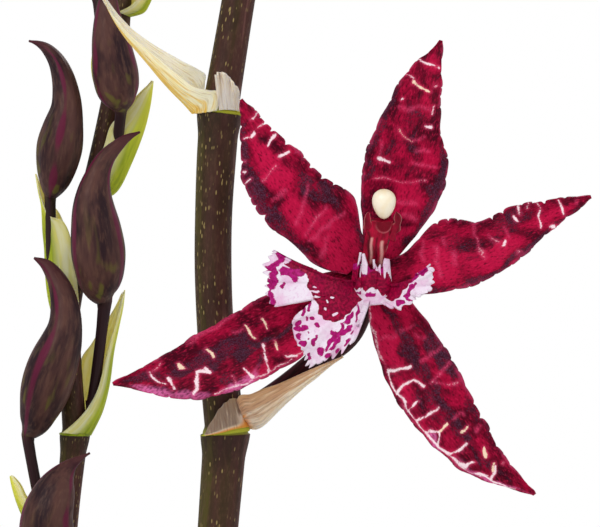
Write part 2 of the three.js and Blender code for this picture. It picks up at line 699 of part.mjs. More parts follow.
function columnWing(side) {
  const path = throughPoints([
    [1.1 + 1.2 * side, -6.1, 6.4],
    [1.6 + 2.9 * side, -7.2, 8],
    [1.8 + 3.1 * side, -7.9, 10.2],
  ]);
  return stem(path, (u) => lerp(1.15, 0.45, u), 3, 5, 0.5);
}

function column() {
  return fuse([loft(COLUMN.map((ring) => columnRing(ring))), columnWing(-1), columnWing(1)]);
}

function antherCap() {
  const ball = new THREE.SphereGeometry(1, 12, 7);
  return mergeVertices(ball.scale(...CAP_SIZE).rotateX(radians(14)).translate(...CAP_CENTRE), 1e-4);
}

// Where each open bloom stands: the middle of its face, how far it is turned about the upright from facing the front,
// how far it is rolled, and whether it is the mirror image of the first.
const BLOOMS = [
  { joint: 5, centre: FLOWER_CENTRE, turn: 0, roll: 0, mirror: 1, azimuth: -15, above: 5.2 },
  { joint: 7, centre: [22, -66, 497], turn: 50, roll: 4, mirror: -1, azimuth: -11, above: 4.4 },
  { joint: 8, centre: [-35, -50, 545], turn: -75, roll: -6, mirror: 1, azimuth: 155, above: 5.4 },
];

// Moves a geometry from the bloom's own frame to its place on the plant.
function placed(geometry, { centre, turn, roll, mirror }) {
  geometry.scale(mirror, 1, 1).rotateY(radians(-roll)).rotateZ(radians(turn)).translate(...centre);
  return outward(geometry);
}

function tepalsAsOne() {
  const core = new THREE.CylinderGeometry(3, 3, 2.7, 14).translate(0, -0.15, 0);
  const blades = Object.values(TEPALS).map((form) => blade(tepalSurface(form, 1.6), PETAL_THICKNESS, 7, 4));
  return fuse([core, ...blades]);
}

const lip = (rows, columns) =>
  fuse([blade(lipSurface, PETAL_THICKNESS, rows, columns), blade(crestSurface, PETAL_THICKNESS, 2, 10)]);

// The stalk of a bloom: from the joint, along its bract and up behind the bloom. The ovary is its thicker end, and a
// lone bloom's tepals stand round its knob.
function pedicel(bloom, via, knob) {
  const { out, root } = stalkRoot(FRONT_SPIKE, bloom.joint, bloom.azimuth, bloom.above);
  const facing = new THREE.Vector3(Math.sin(radians(bloom.turn)), -Math.cos(radians(bloom.turn)), 0);
  const end = vector(bloom.centre).addScaledVector(facing, knob);
  const behind = (distance) => end.clone().addScaledVector(facing, -distance).toArray();
  const points = [root.toArray(), root.addScaledVector(out, 1.9).toArray(), ...via, behind(6), behind(3), behind(0)];
  const girth = through([1.5, 1.5, 1.6, 2, 2.2, 2.2, KNOB_RADIUS]);
  return stem(throughPoints(points), girth, 14, 8);
}

// Bracts: where each one is, which way it leaves the stem, and how far its tip is out and up.
const FRONT_BRACTS = [
  {
    name: "bract_bloom_1",
    joint: 5,
    azimuth: -17,
    reach: 14.2,
    height: 11.2,
    wrap: 92,
    grid: [7, 6],
    flap: { from: -152, to: -84, heights: [1.5, 3.4, 5.4] },
  },
  {
    name: "bract_torn",
    joint: 6,
    azimuth: 180,
    reach: 15.2,
    height: 18,
    wrap: 92,
    grid: [7, 6],
    flap: { from: 84, to: 168, heights: [5, 6.4, 4.2] },
  },
  { name: "bract_bloom_2", joint: 7, azimuth: -11, reach: 11, height: 11, wrap: 86 },
  { name: "bract_bloom_3", joint: 8, azimuth: 155, reach: 12, height: 10.5, wrap: 86 },
];
const BACK_BRACTS = [
  { name: "bract_bud_1", joint: 4, azimuth: 211, reach: 15.5, height: 18 },
  { name: "bract_bud_2", joint: 5, azimuth: 180, reach: 7.5, height: 17 },
  { name: "bract_bud_3", joint: 6, azimuth: -8, reach: 7.4, height: 28 },
  { name: "bract_bud_4", joint: 7, azimuth: 184, reach: 6, height: 24 },
  { name: "bract_bud_5", joint: 8, azimuth: 0, reach: 9.5, height: 23 },
];

// The small bracts near a spike's tip are one with the stem.
const smallBract = (joints, joint, azimuth) =>
  bract({ joints, joint, azimuth, reach: 7, height: 6.5, sunk: 0.7, grid: [4, 4] });

// Buds: the joint each grows from, its foot, its tip, how its middle bulges off the line between them, its thickness.
const FRONT_BUDS = {
  bud_front_1: { joint: 9, azimuth: -20, foot: [7, -64.5, 567], tip: [13, -68, 596], bulge: [3, -1, 0], radius: 5 },
  bud_front_2: { joint: 10, azimuth: 165, foot: [-12, -57, 592], tip: [-15, -55, 614], bulge: [-2, 1, 0], radius: 3.9 },
  bud_front_3: { joint: 10, azimuth: 20, foot: [4, -57, 608], tip: [7, -56, 626], bulge: [1.6, 0, 0], radius: 2.9, above: 16 },
};
const BACK_BUDS = {
  bud_back_1: { joint: 4, azimuth: 211, foot: [-57, 73, 326], tip: [-45.4, 69, 363], bulge: [-3, -4, 0], radius: 7 },
  bud_back_2: { joint: 5, azimuth: 182, foot: [-58, 76.5, 365], tip: [-55.8, 72, 403.6], bulge: [5, -4, 0], radius: 5.9 },
  bud_back_3: { joint: 6, azimuth: -8, foot: [-40.6, 76, 392], tip: [-33.6, 71, 430], bulge: [-3.8, -4, 0], radius: 5.6 },
  bud_back_4: { joint: 7, azimuth: 184, foot: [-53.4, 79, 415], tip: [-56.8, 77, 450], bulge: [4.8, -4, 0], radius: 5.1 },
  bud_back_5: { joint: 8, azimuth: -5, foot: [-37, 75.5, 434], tip: [-40.6, 70, 466], bulge: [2.6, -3, 0], radius: 5.2 },
  bud_back_6: { joint: 9, azimuth: 185, foot: [-44, 81, 459], tip: [-46, 81, 488], bulge: [-2, 0, 0], radius: 4.5 },
  bud_back_7: { joint: 10, azimuth: 0, foot: [-27.4, 79, 484], tip: [-21, 77, 508], bulge: [2, 0, 0], radius: 3.8 },
  bud_back_8: { joint: 11, azimuth: 190, foot: [-35.5, 78, 504], tip: [-38, 78, 523], bulge: [-1.6, 0, 0], radius: 3 },
};

// The plant, from the pot up
piece("pot", pot(), clay);
const holes = [
  ...BULBS.map((bulb) => pseudobulb(bulb, SEAT_GAP + 0.1)),
  ...BASAL_LEAVES.map(leafHole),
  spike(FRONT_SPIKE, 10, [], SEAT_GAP + 0.1, 1),
  spike(BACK_SPIKE, 8, [], SEAT_GAP + 0.1, 1),
];
piece("bark", bark(holes), barkBrown);
BULBS.forEach((bulb) => piece(bulb.name, pseudobulb(bulb), bulbGreen));
Object.entries(LEAVES).forEach(([name, form]) => piece(name, leaf(form), leafGreen));

const frontTip = [smallBract(FRONT_SPIKE, 9, -20), smallBract(FRONT_SPIKE, 10, 165)];
piece("spike_front", fuse([spike(FRONT_SPIKE, 10, [1, 2, 3, 4]), ...frontTip]), stemPurple);
const backTip = [smallBract(BACK_SPIKE, 9, 185), smallBract(BACK_SPIKE, 10, 0), smallBract(BACK_SPIKE, 11, 190)];
piece("spike_back", fuse([spike(BACK_SPIKE, 8, [1, 2, 3]), ...backTip]), stemPurple);

FRONT_BRACTS.forEach((form) => piece(form.name, bract({ joints: FRONT_SPIKE, ...form }), bractTan));
BACK_BRACTS.forEach((form) => piece(form.name, bract({ joints: BACK_SPIKE, ...form }), bractGreen));

const bloom1 = BLOOMS[0];
Object.entries(TEPALS).forEach(([name, form]) => {
  const sheet = blade(tepalSurface(form, TEPAL_ROOT_RADIUS), PETAL_THICKNESS, 13, 4);
  piece(`bloom_1_${name}`, placed(sheet, bloom1), crimson);
});
piece("bloom_1_lip", placed(lip(4, 28), bloom1), lipPink);
piece("bloom_1_column", placed(column(), bloom1), columnRed);
piece("bloom_1_anther_cap", placed(antherCap(), bloom1), capCream);
BLOOMS.slice(1).forEach((bloom, k) => {
  const name = `bloom_${k + 2}`;
  piece(`${name}_tepals`, placed(tepalsAsOne(), bloom), crimson);
  piece(`${name}_lip`, placed(lip(3, 28), bloom), lipPink);
  piece(`${name}_column`, placed(column(), bloom), columnRed);
  piece(`${name}_anther_cap`, placed(antherCap(), bloom), capCream);
});
piece("pedicel_1", pedicel(bloom1, [[-1.4, -62.4, 380.9], [4.4, -64.2, 385.3], [10.5, -67.2, 390.4]], 1.5), stemPurple);
piece("pedicel_2", pedicel(BLOOMS[1], [[5, -62, 484.5], [11.5, -61.4, 491]], -1.9), stemPurple);
piece("pedicel_3", pedicel(BLOOMS[2], [[-15.5, -58.4, 527], [-20.5, -53, 538]], -1.9), stemPurple);

Object.entries(FRONT_BUDS).forEach(([name, form]) => piece(name, bud({ joints: FRONT_SPIKE, ...form }), budPurple));
Object.entries(BACK_BUDS).forEach(([name, form]) => piece(name, bud({ joints: BACK_SPIKE, ...form }), budPurple));

export default plant;
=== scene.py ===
# %% [markdown]
# # A potted massai colmanara orchid
# This plant stands in a clay pot of bark. Three pseudobulbs carry strap leaves, and two flower spikes rise between
# them: one has three open crimson blooms, the other closed buds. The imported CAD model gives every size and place.
# Here each part gets its real surface and finish: the same formulas as the CAD's, on grids fine enough to show the
# ruffles, veins and marks. Everything is worked out in millimetres and put into the mesh in metres.

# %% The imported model
import math

import bpy
import numpy as np
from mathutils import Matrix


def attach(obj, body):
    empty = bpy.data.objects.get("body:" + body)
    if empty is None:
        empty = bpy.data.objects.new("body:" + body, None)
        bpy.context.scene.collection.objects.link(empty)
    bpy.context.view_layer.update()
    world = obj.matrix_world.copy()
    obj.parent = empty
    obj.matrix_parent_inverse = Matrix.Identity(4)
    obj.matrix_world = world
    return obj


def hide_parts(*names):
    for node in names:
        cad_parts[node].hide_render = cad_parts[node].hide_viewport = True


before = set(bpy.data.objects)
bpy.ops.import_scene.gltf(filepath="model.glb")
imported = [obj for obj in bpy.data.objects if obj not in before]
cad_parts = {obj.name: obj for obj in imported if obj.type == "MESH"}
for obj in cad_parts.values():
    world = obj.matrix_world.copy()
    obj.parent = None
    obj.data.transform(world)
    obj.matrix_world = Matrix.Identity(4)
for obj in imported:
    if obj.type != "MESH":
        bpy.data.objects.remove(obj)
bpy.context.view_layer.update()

MM = 0.001

# %% [markdown]
# ## Where the camera stands
# A flower portrait is taken from some way off with a long lens, so that the bloom isn't stretched towards the lens.
# The camera stands 520 mm in front of the bloom, level with it, and sees 100 mm of width there.

# %% The camera
VIEW_DISTANCE = 520
VIEW_WIDTH = 100
SENSOR_WIDTH = 36
BLOOM_FACE = -75
CAMERA_PLACE = (2, BLOOM_FACE - VIEW_DISTANCE, 402)
PHOTO_MIDDLE = (300, 263.5)
PIXELS_PER_MM = 6

camera = bpy.data.objects.new("camera", bpy.data.cameras.new("camera"))
camera.data.sensor_width = SENSOR_WIDTH
camera.data.lens = SENSOR_WIDTH * VIEW_DISTANCE / VIEW_WIDTH
camera.location = [value * MM for value in CAMERA_PLACE]
camera.rotation_euler = (math.radians(90), 0, 0)
bpy.context.scene.collection.objects.link(camera)
bpy.context.scene.camera = camera
print("lens", round(camera.data.lens, 1), "mm")

# %% [markdown]
# ## Light
# The photograph has the even light of a white studio: a bright ground, and one large soft lamp ahead on the left.
# A white world gives the ground. It lights the plant less strongly than it looks, so that the lamps still model it.

# %% The world and the lamps
GROUND_LIGHT = 0.62
LAMPS = {
    "key": {"place": (-0.75, -1.25, 1.15), "size": 0.8, "power": 10},
    "fill": {"place": (1.1, -0.9, 0.55), "size": 1.0, "power": 3},
    "back": {"place": (0.5, 1.2, 1.3), "size": 0.9, "power": 8},
}
LAMP_AIM = np.array([0.0, -0.03, 0.4])

bpy.context.scene.view_settings.view_transform = "Standard"
world = bpy.data.worlds.new("white_room")
world.use_nodes = True
bpy.context.scene.world = world
sky = world.node_tree
seen = sky.nodes["Background"]
seen.inputs["Color"].default_value = (1, 1, 1, 1)
lighting = sky.nodes.new("ShaderNodeBackground")
lighting.inputs["Color"].default_value = (1, 1, 1, 1)
lighting.inputs["Strength"].default_value = GROUND_LIGHT
switch = sky.nodes.new("ShaderNodeMixShader")
path = sky.nodes.new("ShaderNodeLightPath")
sky.links.new(path.outputs["Is Camera Ray"], switch.inputs[0])
sky.links.new(lighting.outputs[0], switch.inputs[1])
sky.links.new(seen.outputs[0], switch.inputs[2])
sky.links.new(switch.outputs[0], sky.nodes["World Output"].inputs["Surface"])

for name, lamp in LAMPS.items():
    light = bpy.data.lights.new(name, "AREA")
    light.energy = lamp["power"]
    light.size = lamp["size"]
    holder = bpy.data.objects.new(name, light)
    holder.location = lamp["place"]
    aim = LAMP_AIM - np.array(lamp["place"])
    holder.rotation_euler = (math.acos(-aim[2] / np.linalg.norm(aim)), 0, math.atan2(aim[1], aim[0]) - math.pi / 2)
    bpy.context.scene.collection.objects.link(holder)
print(len(LAMPS), "lamps")

# %% [markdown]
# ## Curves in numbers
# Every shape below is a formula. These few helpers are all the formulas need: a straight blend, a smooth step, a
# smooth curve through a handful of numbers, and two kinds of seeded irregularity, because nothing grown is regular.

# %% Helpers for curves
TURN = 2 * math.pi


def lerp(a, b, share):
    """The value that lies that share of the way from a to b."""
    return a + (b - a) * share


def smooth(low, high, value):
    """0 up to low, 1 from high on, and 3s^2 - 2s^3 of the share s of the way between them."""
    share = np.clip((value - low) / (high - low), 0, 1)
    return share * share * (3 - 2 * share)


def unit(vectors):
    """The same directions, one long: each vector over its length."""
    return vectors / np.linalg.norm(vectors, axis=-1, keepdims=True)


def through(values, place):
    """A smooth curve through evenly spaced numbers or points, read at places from 0 to 1. Between two of them it is
    the cubic (Catmull-Rom) that leaves each one in the direction from its neighbour before to its neighbour after."""
    values = np.asarray(values, float)
    last = len(values) - 1
    place = np.clip(place, 0, 1) * last
    i = np.minimum(np.floor(place).astype(int), last - 1)
    f = place - i
    if values.ndim > 1:
        f = f[..., None]
    a, b, c, d = (values[np.clip(i + k, 0, last)] for k in (-1, 0, 1, 2))
    return 0.5 * (2 * b + (c - a) * f + (2 * a - 5 * b + 4 * c - d) * f**2 + (3 * b - 3 * c + d - a) * f**3)


def wander(place, seed, slow, fast, waves=5):
    """An irregular line between about -1 and 1: the sum of a few sines of the place, whose turns per unit lie between
    slow and fast and whose starts are seeded, over the square root of their number."""
    random = np.random.default_rng(seed)
    total = 0
    for turns, start in zip(random.uniform(slow, fast, waves), random.uniform(0, TURN, waves)):
        total = total + np.sin(TURN * turns * place + start)
    return total / math.sqrt(waves)


def mottle(x, y, size, seed, waves=12):
    """Soft patches between about -1 and 1 over a plane, each about size across: the sum of sines that cross the plane
    in seeded directions, over the square root of their number."""
    random = np.random.default_rng(seed)
    total = 0
    for heading, pace, start in zip(
        random.uniform(0, TURN, waves), random.uniform(0.6, 1.5, waves), random.uniform(0, TURN, waves)
    ):
        total = total + np.sin(math.pi * pace / size * (x * math.cos(heading) + y * math.sin(heading)) + start)
    return total / math.sqrt(waves)


print("a curve through 0, 1, 0 has its middle at", through([0, 1, 0], np.array(0.5)))

# %% [markdown]
# ## From a grid of points to a closed mesh
# A petal or a bract is a sheet with two faces, and a stem or a bud is a row of rings with its ends closed. Both start
# as a numpy array of points, rows by columns. The faces are the squares between neighbours. A sheet gets its second
# face by moving each point against the surface's own direction, and a ring grid gets one point at each end. Marks
# such as a stripe or a spot travel with the points as named attributes, which the finishes read.

# %% Helpers for surfaces
def squares(rows, columns, ring=False):
    """The faces of a grid: each square joins a point, its neighbour across, and the two below them. In a ring grid
    the last column joins the first again."""
    across = np.arange(columns if ring else columns - 1)
    a = np.arange(rows - 1)[:, None] * columns + across
    b = np.arange(rows - 1)[:, None] * columns + (across + 1) % columns
    return np.stack([a, b, b + columns, a + columns], -1).reshape(-1, 4)


def outward(points, quads, triangles):
    """The same faces turned so that they enclose a positive volume: the sum over their triangles of a . (b x c)."""
    corners = [(quads, 0, 1, 2), (quads, 0, 2, 3), (triangles, 0, 1, 2)]
    volume = sum(
        np.einsum("ij,ij->", points[f[:, i]], np.cross(points[f[:, j]], points[f[:, k]])) for f, i, j, k in corners
    )
    return (quads, triangles) if volume > 0 else (quads[:, ::-1], triangles[:, ::-1])


NO_TRIANGLES = np.zeros((0, 3), int)


def sheet(front, thickness, **marks):
    """A thin closed sheet from the grid of its front. Its back is each front point moved by the thickness against
    the surface's direction, which is the cross product of the grid's two slopes."""
    slope = unit(np.cross(np.gradient(front, axis=0), np.gradient(front, axis=1)))
    rows, columns = front.shape[:2]
    count = rows * columns
    back = front - slope * np.asarray(thickness)[..., None]
    points = np.concatenate([front.reshape(-1, 3), back.reshape(-1, 3)])
    faces = squares(rows, columns)
    index = np.arange(count).reshape(rows, columns)
    rim = np.concatenate([index[0, :-1], index[:-1, -1], index[-1, :0:-1], index[:0:-1, 0]])
    after = np.roll(rim, -1)
    edge = np.stack([after, rim, rim + count, after + count], -1)
    quads, triangles = outward(points, np.concatenate([faces, faces[:, ::-1] + count, edge]), NO_TRIANGLES)
    flat = {name: np.concatenate([m.reshape(count, -1)] * 2) for name, m in marks.items()}
    return points, quads, triangles, flat


def tube(rings, **marks):
    """A closed skin from a grid of rings. Each end is a fan of triangles to the middle of its ring."""
    rows, columns = rings.shape[:2]
    count = rows * columns
    points = np.concatenate([rings.reshape(-1, 3), rings[[0, -1]].mean(axis=1)])
    first = np.arange(columns)
    after = np.roll(first, -1)
    last = count - columns
    fans = [
        np.stack([after, first, np.full(columns, count)], -1),
        np.stack([last + first, last + after, np.full(columns, count + 1)], -1),
    ]
    quads, triangles = outward(points, squares(rows, columns, ring=True), np.concatenate(fans))
    flat = {}
    for name, mark in marks.items():
        whole = mark.reshape(rows, columns, -1)
        flat[name] = np.concatenate([whole.reshape(count, -1), whole[[0, -1]].mean(axis=1)])
    return points, quads, triangles, flat


def join(*surfaces):
    """Several surfaces as one, each one's faces counted on from the points before it. A mark that one of them lacks
    is 0 on it."""
    names = {name: mark.shape[1] for *_, marks in surfaces for name, mark in marks.items()}
    starts = np.cumsum([0] + [len(points) for points, *_ in surfaces])
    flat = {}
    for name, width in names.items():
        flat[name] = np.concatenate([m.get(name, np.zeros((len(p), width))) for p, _, _, m in surfaces])
    return (
        np.concatenate([points for points, *_ in surfaces]),
        np.concatenate([quads + start for (_, quads, _, _), start in zip(surfaces, starts)]),
        np.concatenate([triangles + start for (_, _, triangles, _), start in zip(surfaces, starts)]),
        flat,
    )


def make(name, surface, finish, replaces=()):
    """One finished piece: the mesh in metres, its marks as attributes, its material, and its place on the plant."""
    points, quads, triangles, marks = surface
    mesh = bpy.data.meshes.new(name)
    mesh.from_pydata((points * MM).tolist(), [], quads.tolist() + triangles.tolist())
    for key, values in marks.items():
        kind, field = ("FLOAT", "value") if values.shape[1] == 1 else ("FLOAT_VECTOR", "vector")
        mesh.attributes.new(key, kind, "POINT").data.foreach_set(field, values.astype(np.float32).ravel())
    mesh.polygons.foreach_set("use_smooth", np.ones(len(mesh.polygons), bool))
    mesh.materials.append(finish.material)
    made = bpy.data.objects.new(name, mesh)
    bpy.context.scene.collection.objects.link(made)
    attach(made, "root")
    if replaces:
        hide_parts(*replaces)
    low, high = points.min(0), points.max(0)
    print(f"{name}: {len(mesh.polygons)} faces, {np.round(low, 1)} to {np.round(high, 1)} mm")
    return made


# %% [markdown]
# ## Finishes as nodes
# A finish is a small network of nodes: where a point lies, some noise at the scale of the real texture, and colours
# mixed by it. The class below only shortens the making of nodes, so that each finish reads as a few lines.

# %% The helper for finishes
def colour(code):
    """A web colour such as #9c0f33 as the linear numbers that Blender works with."""
    parts = np.array([int(code[k : k + 2], 16) / 255 for k in (1, 3, 5)])
    linear = np.where(parts <= 0.04045, parts / 12.92, ((parts + 0.055) / 1.055) ** 2.4)
    return (*linear.tolist(), 1)


class Finish:
    """One material. Each method adds a node and returns the output that the next one reads."""

    def __init__(self, name, **settings):
        self.material = bpy.data.materials.new(name)
        self.material.use_nodes = True
        self.nodes = self.material.node_tree.nodes
        self.links = self.material.node_tree.links
        self.shader = self.nodes["Principled BSDF"]
        for socket, value in settings.items():
            self.shader.inputs[socket.replace("_", " ")].default_value = value

    def add(self, kind, inputs, output=0, **settings):
        node = self.nodes.new("ShaderNode" + kind)
        for key, value in settings.items():
            setattr(node, key, value)
        for key, value in inputs.items():
            if isinstance(value, bpy.types.NodeSocket):
                self.links.new(value, node.inputs[key])
            else:
                node.inputs[key].default_value = value
        return node.outputs[output]

    def mark(self, name, vector=False):
        return self.add("Attribute", {}, "Vector" if vector else "Fac", attribute_name=name)

    def place(self, scale, name=None):
        source = self.mark(name, True) if name else self.add("TexCoord", {}, "Object")
        return self.add("Mapping", {"Vector": source, "Scale": scale})

    def noise(self, where, scale=1.0, detail=3.0, roughness=0.55, distortion=0.0):
        inputs = {"Vector": where, "Scale": scale, "Detail": detail, "Roughness": roughness, "Distortion": distortion}
        return self.add("TexNoise", inputs, "Fac")

    def cells(self, where, scale=1.0, randomness=1.0, feature="F1", output="Distance"):
        return self.add("TexVoronoi", {"Vector": where, "Scale": scale, "Randomness": randomness}, output, feature=feature)

    def steps(self, value, low, high, to_low=0.0, to_high=1.0):
        inputs = {"Value": value, "From Min": low, "From Max": high, "To Min": to_low, "To Max": to_high}
        return self.add("MapRange", inputs, interpolation_type="SMOOTHSTEP")

    def math(self, kind, a, b=0.0):
        return self.add("Math", {0: a, 1: b}, operation=kind, use_clamp=False)

    def mix(self, share, a, b):
        a, b = (colour(c) if isinstance(c, str) else c for c in (a, b))
        return self.add("Mix", {0: share, 6: a, 7: b}, 2, data_type="RGBA")

    def bump(self, height, depth, strength=1.0, after=None):
        inputs = {"Height": height, "Distance": depth * MM, "Strength": strength}
        if after is not None:
            inputs["Normal"] = after
        return self.add("Bump", inputs)

    def paint(self, surface_colour, roughness=None, normal=None):
        self.links.new(surface_colour, self.shader.inputs["Base Color"])
        if roughness is not None:
            self.links.new(roughness, self.shader.inputs["Roughness"])
        if normal is not None:
            self.links.new(normal, self.shader.inputs["Normal"])
        return self


print("crimson in linear numbers:", np.round(colour("#9c0f33"), 3))
# %% [markdown]
# ## The tepals
# Three sepals and two petals make the star. Each is a sheet measured from the photograph: its length and angle, and
# how far its two margins lie from its axis at even steps from the middle of the bloom to its tip. The petals are
# ruffled, with rounded lobes along their margins. The marks come from the same place: each stroke is a short line
# in the tepal's own coordinates, t from the bloom's middle to the tip and v from -1 at the right margin to 1 at
# the left, as wide as the real mark in millimetres.

# %% The forms of the five tepals
TEPALS = {
    "dorsal_sepal": {
        "length": 40.8, "angle": 73.6,
        "left": [1.6, 3.5, 5.9, 6.6, 5.6, 3.9, 0.3],
        "right": [1.6, 4.5, 6.9, 7, 3.6, 2, 0.3],
        "back": [0.6, -0.5, -2, -2, 0.5],
        "hollow": 0.8, "ripple": 0.25, "waves": 3, "crease": 0.1,
        "frill": {"left": 0.25, "right": 0.35, "lobes": 17, "start": 0.3},
    },
    "left_petal": {
        "length": 36.4, "angle": 126.8,
        "left": [1.6, 6.1, 7.5, 8.8, 8.1, 4.6, 0.3],
        "right": [1.6, 2.6, 5.2, 3.1, 2.2, 0.9, 0.3],
        "back": [-0.9, -1.5, -2.5, -3, -2],
        "hollow": 0.3, "ripple": 0.7, "waves": 3.5, "crease": 0.05,
        "frill": {"left": 0.6, "right": 0.95, "lobes": 18, "start": 0.35},
    },
    "right_petal": {
        "length": 38.6, "angle": 19.7,
        "left": [1.6, 1.6, 4.6, 2.4, 2.6, 1.6, 0.3],
        "right": [1.6, 5.7, 7, 6.9, 4.8, 2.4, 0.3],
        "back": [-0.9, -1.5, -2.5, -3, -2],
        "hollow": 0.3, "ripple": 0.7, "waves": 3.5, "crease": 0.05,
        "frill": {"left": 0.75, "right": 0.35, "lobes": 16, "start": 0.2},
    },
    "left_sepal": {
        "length": 47.1, "angle": 202.9,
        "left": [1.6, 5.2, 7.9, 8.6, 8.5, 5.6, 0.3],
        "right": [1.6, 3.4, 3.7, 3, 2, 0.8, 0.3],
        "back": [0.6, -0.5, -1, 0, 3],
        "hollow": 1.1, "ripple": 0.3, "waves": 3, "crease": 0.3,
        "frill": {"left": 0.35, "right": 0.2, "lobes": 17, "start": 0.3},
    },
    "right_sepal": {
        "length": 45.9, "angle": -53.4,
        "left": [1.6, 2.5, 2.6, 1.6, 0.4, -0.5, 0.3],
        "right": [1.6, 5.7, 8.4, 9.2, 8.4, 5.8, 0.3],
        "back": [0.6, -0.5, -1, 0, 3],
        "hollow": 1.1, "ripple": 0.3, "waves": 3, "crease": 0.35,
        "frill": {"left": 0.45, "right": 0.15, "lobes": 17, "start": 0.3},
    },
}

# %% [markdown]
# Each stroke is: its kind, its width in millimetres, how strong it is, and the points t, v that it runs through.
# Strong pale ones are the white bars near the tips, weak ones the pinkish bands further in. Cream ones are the
# thicker spots where the skin has no red at all.

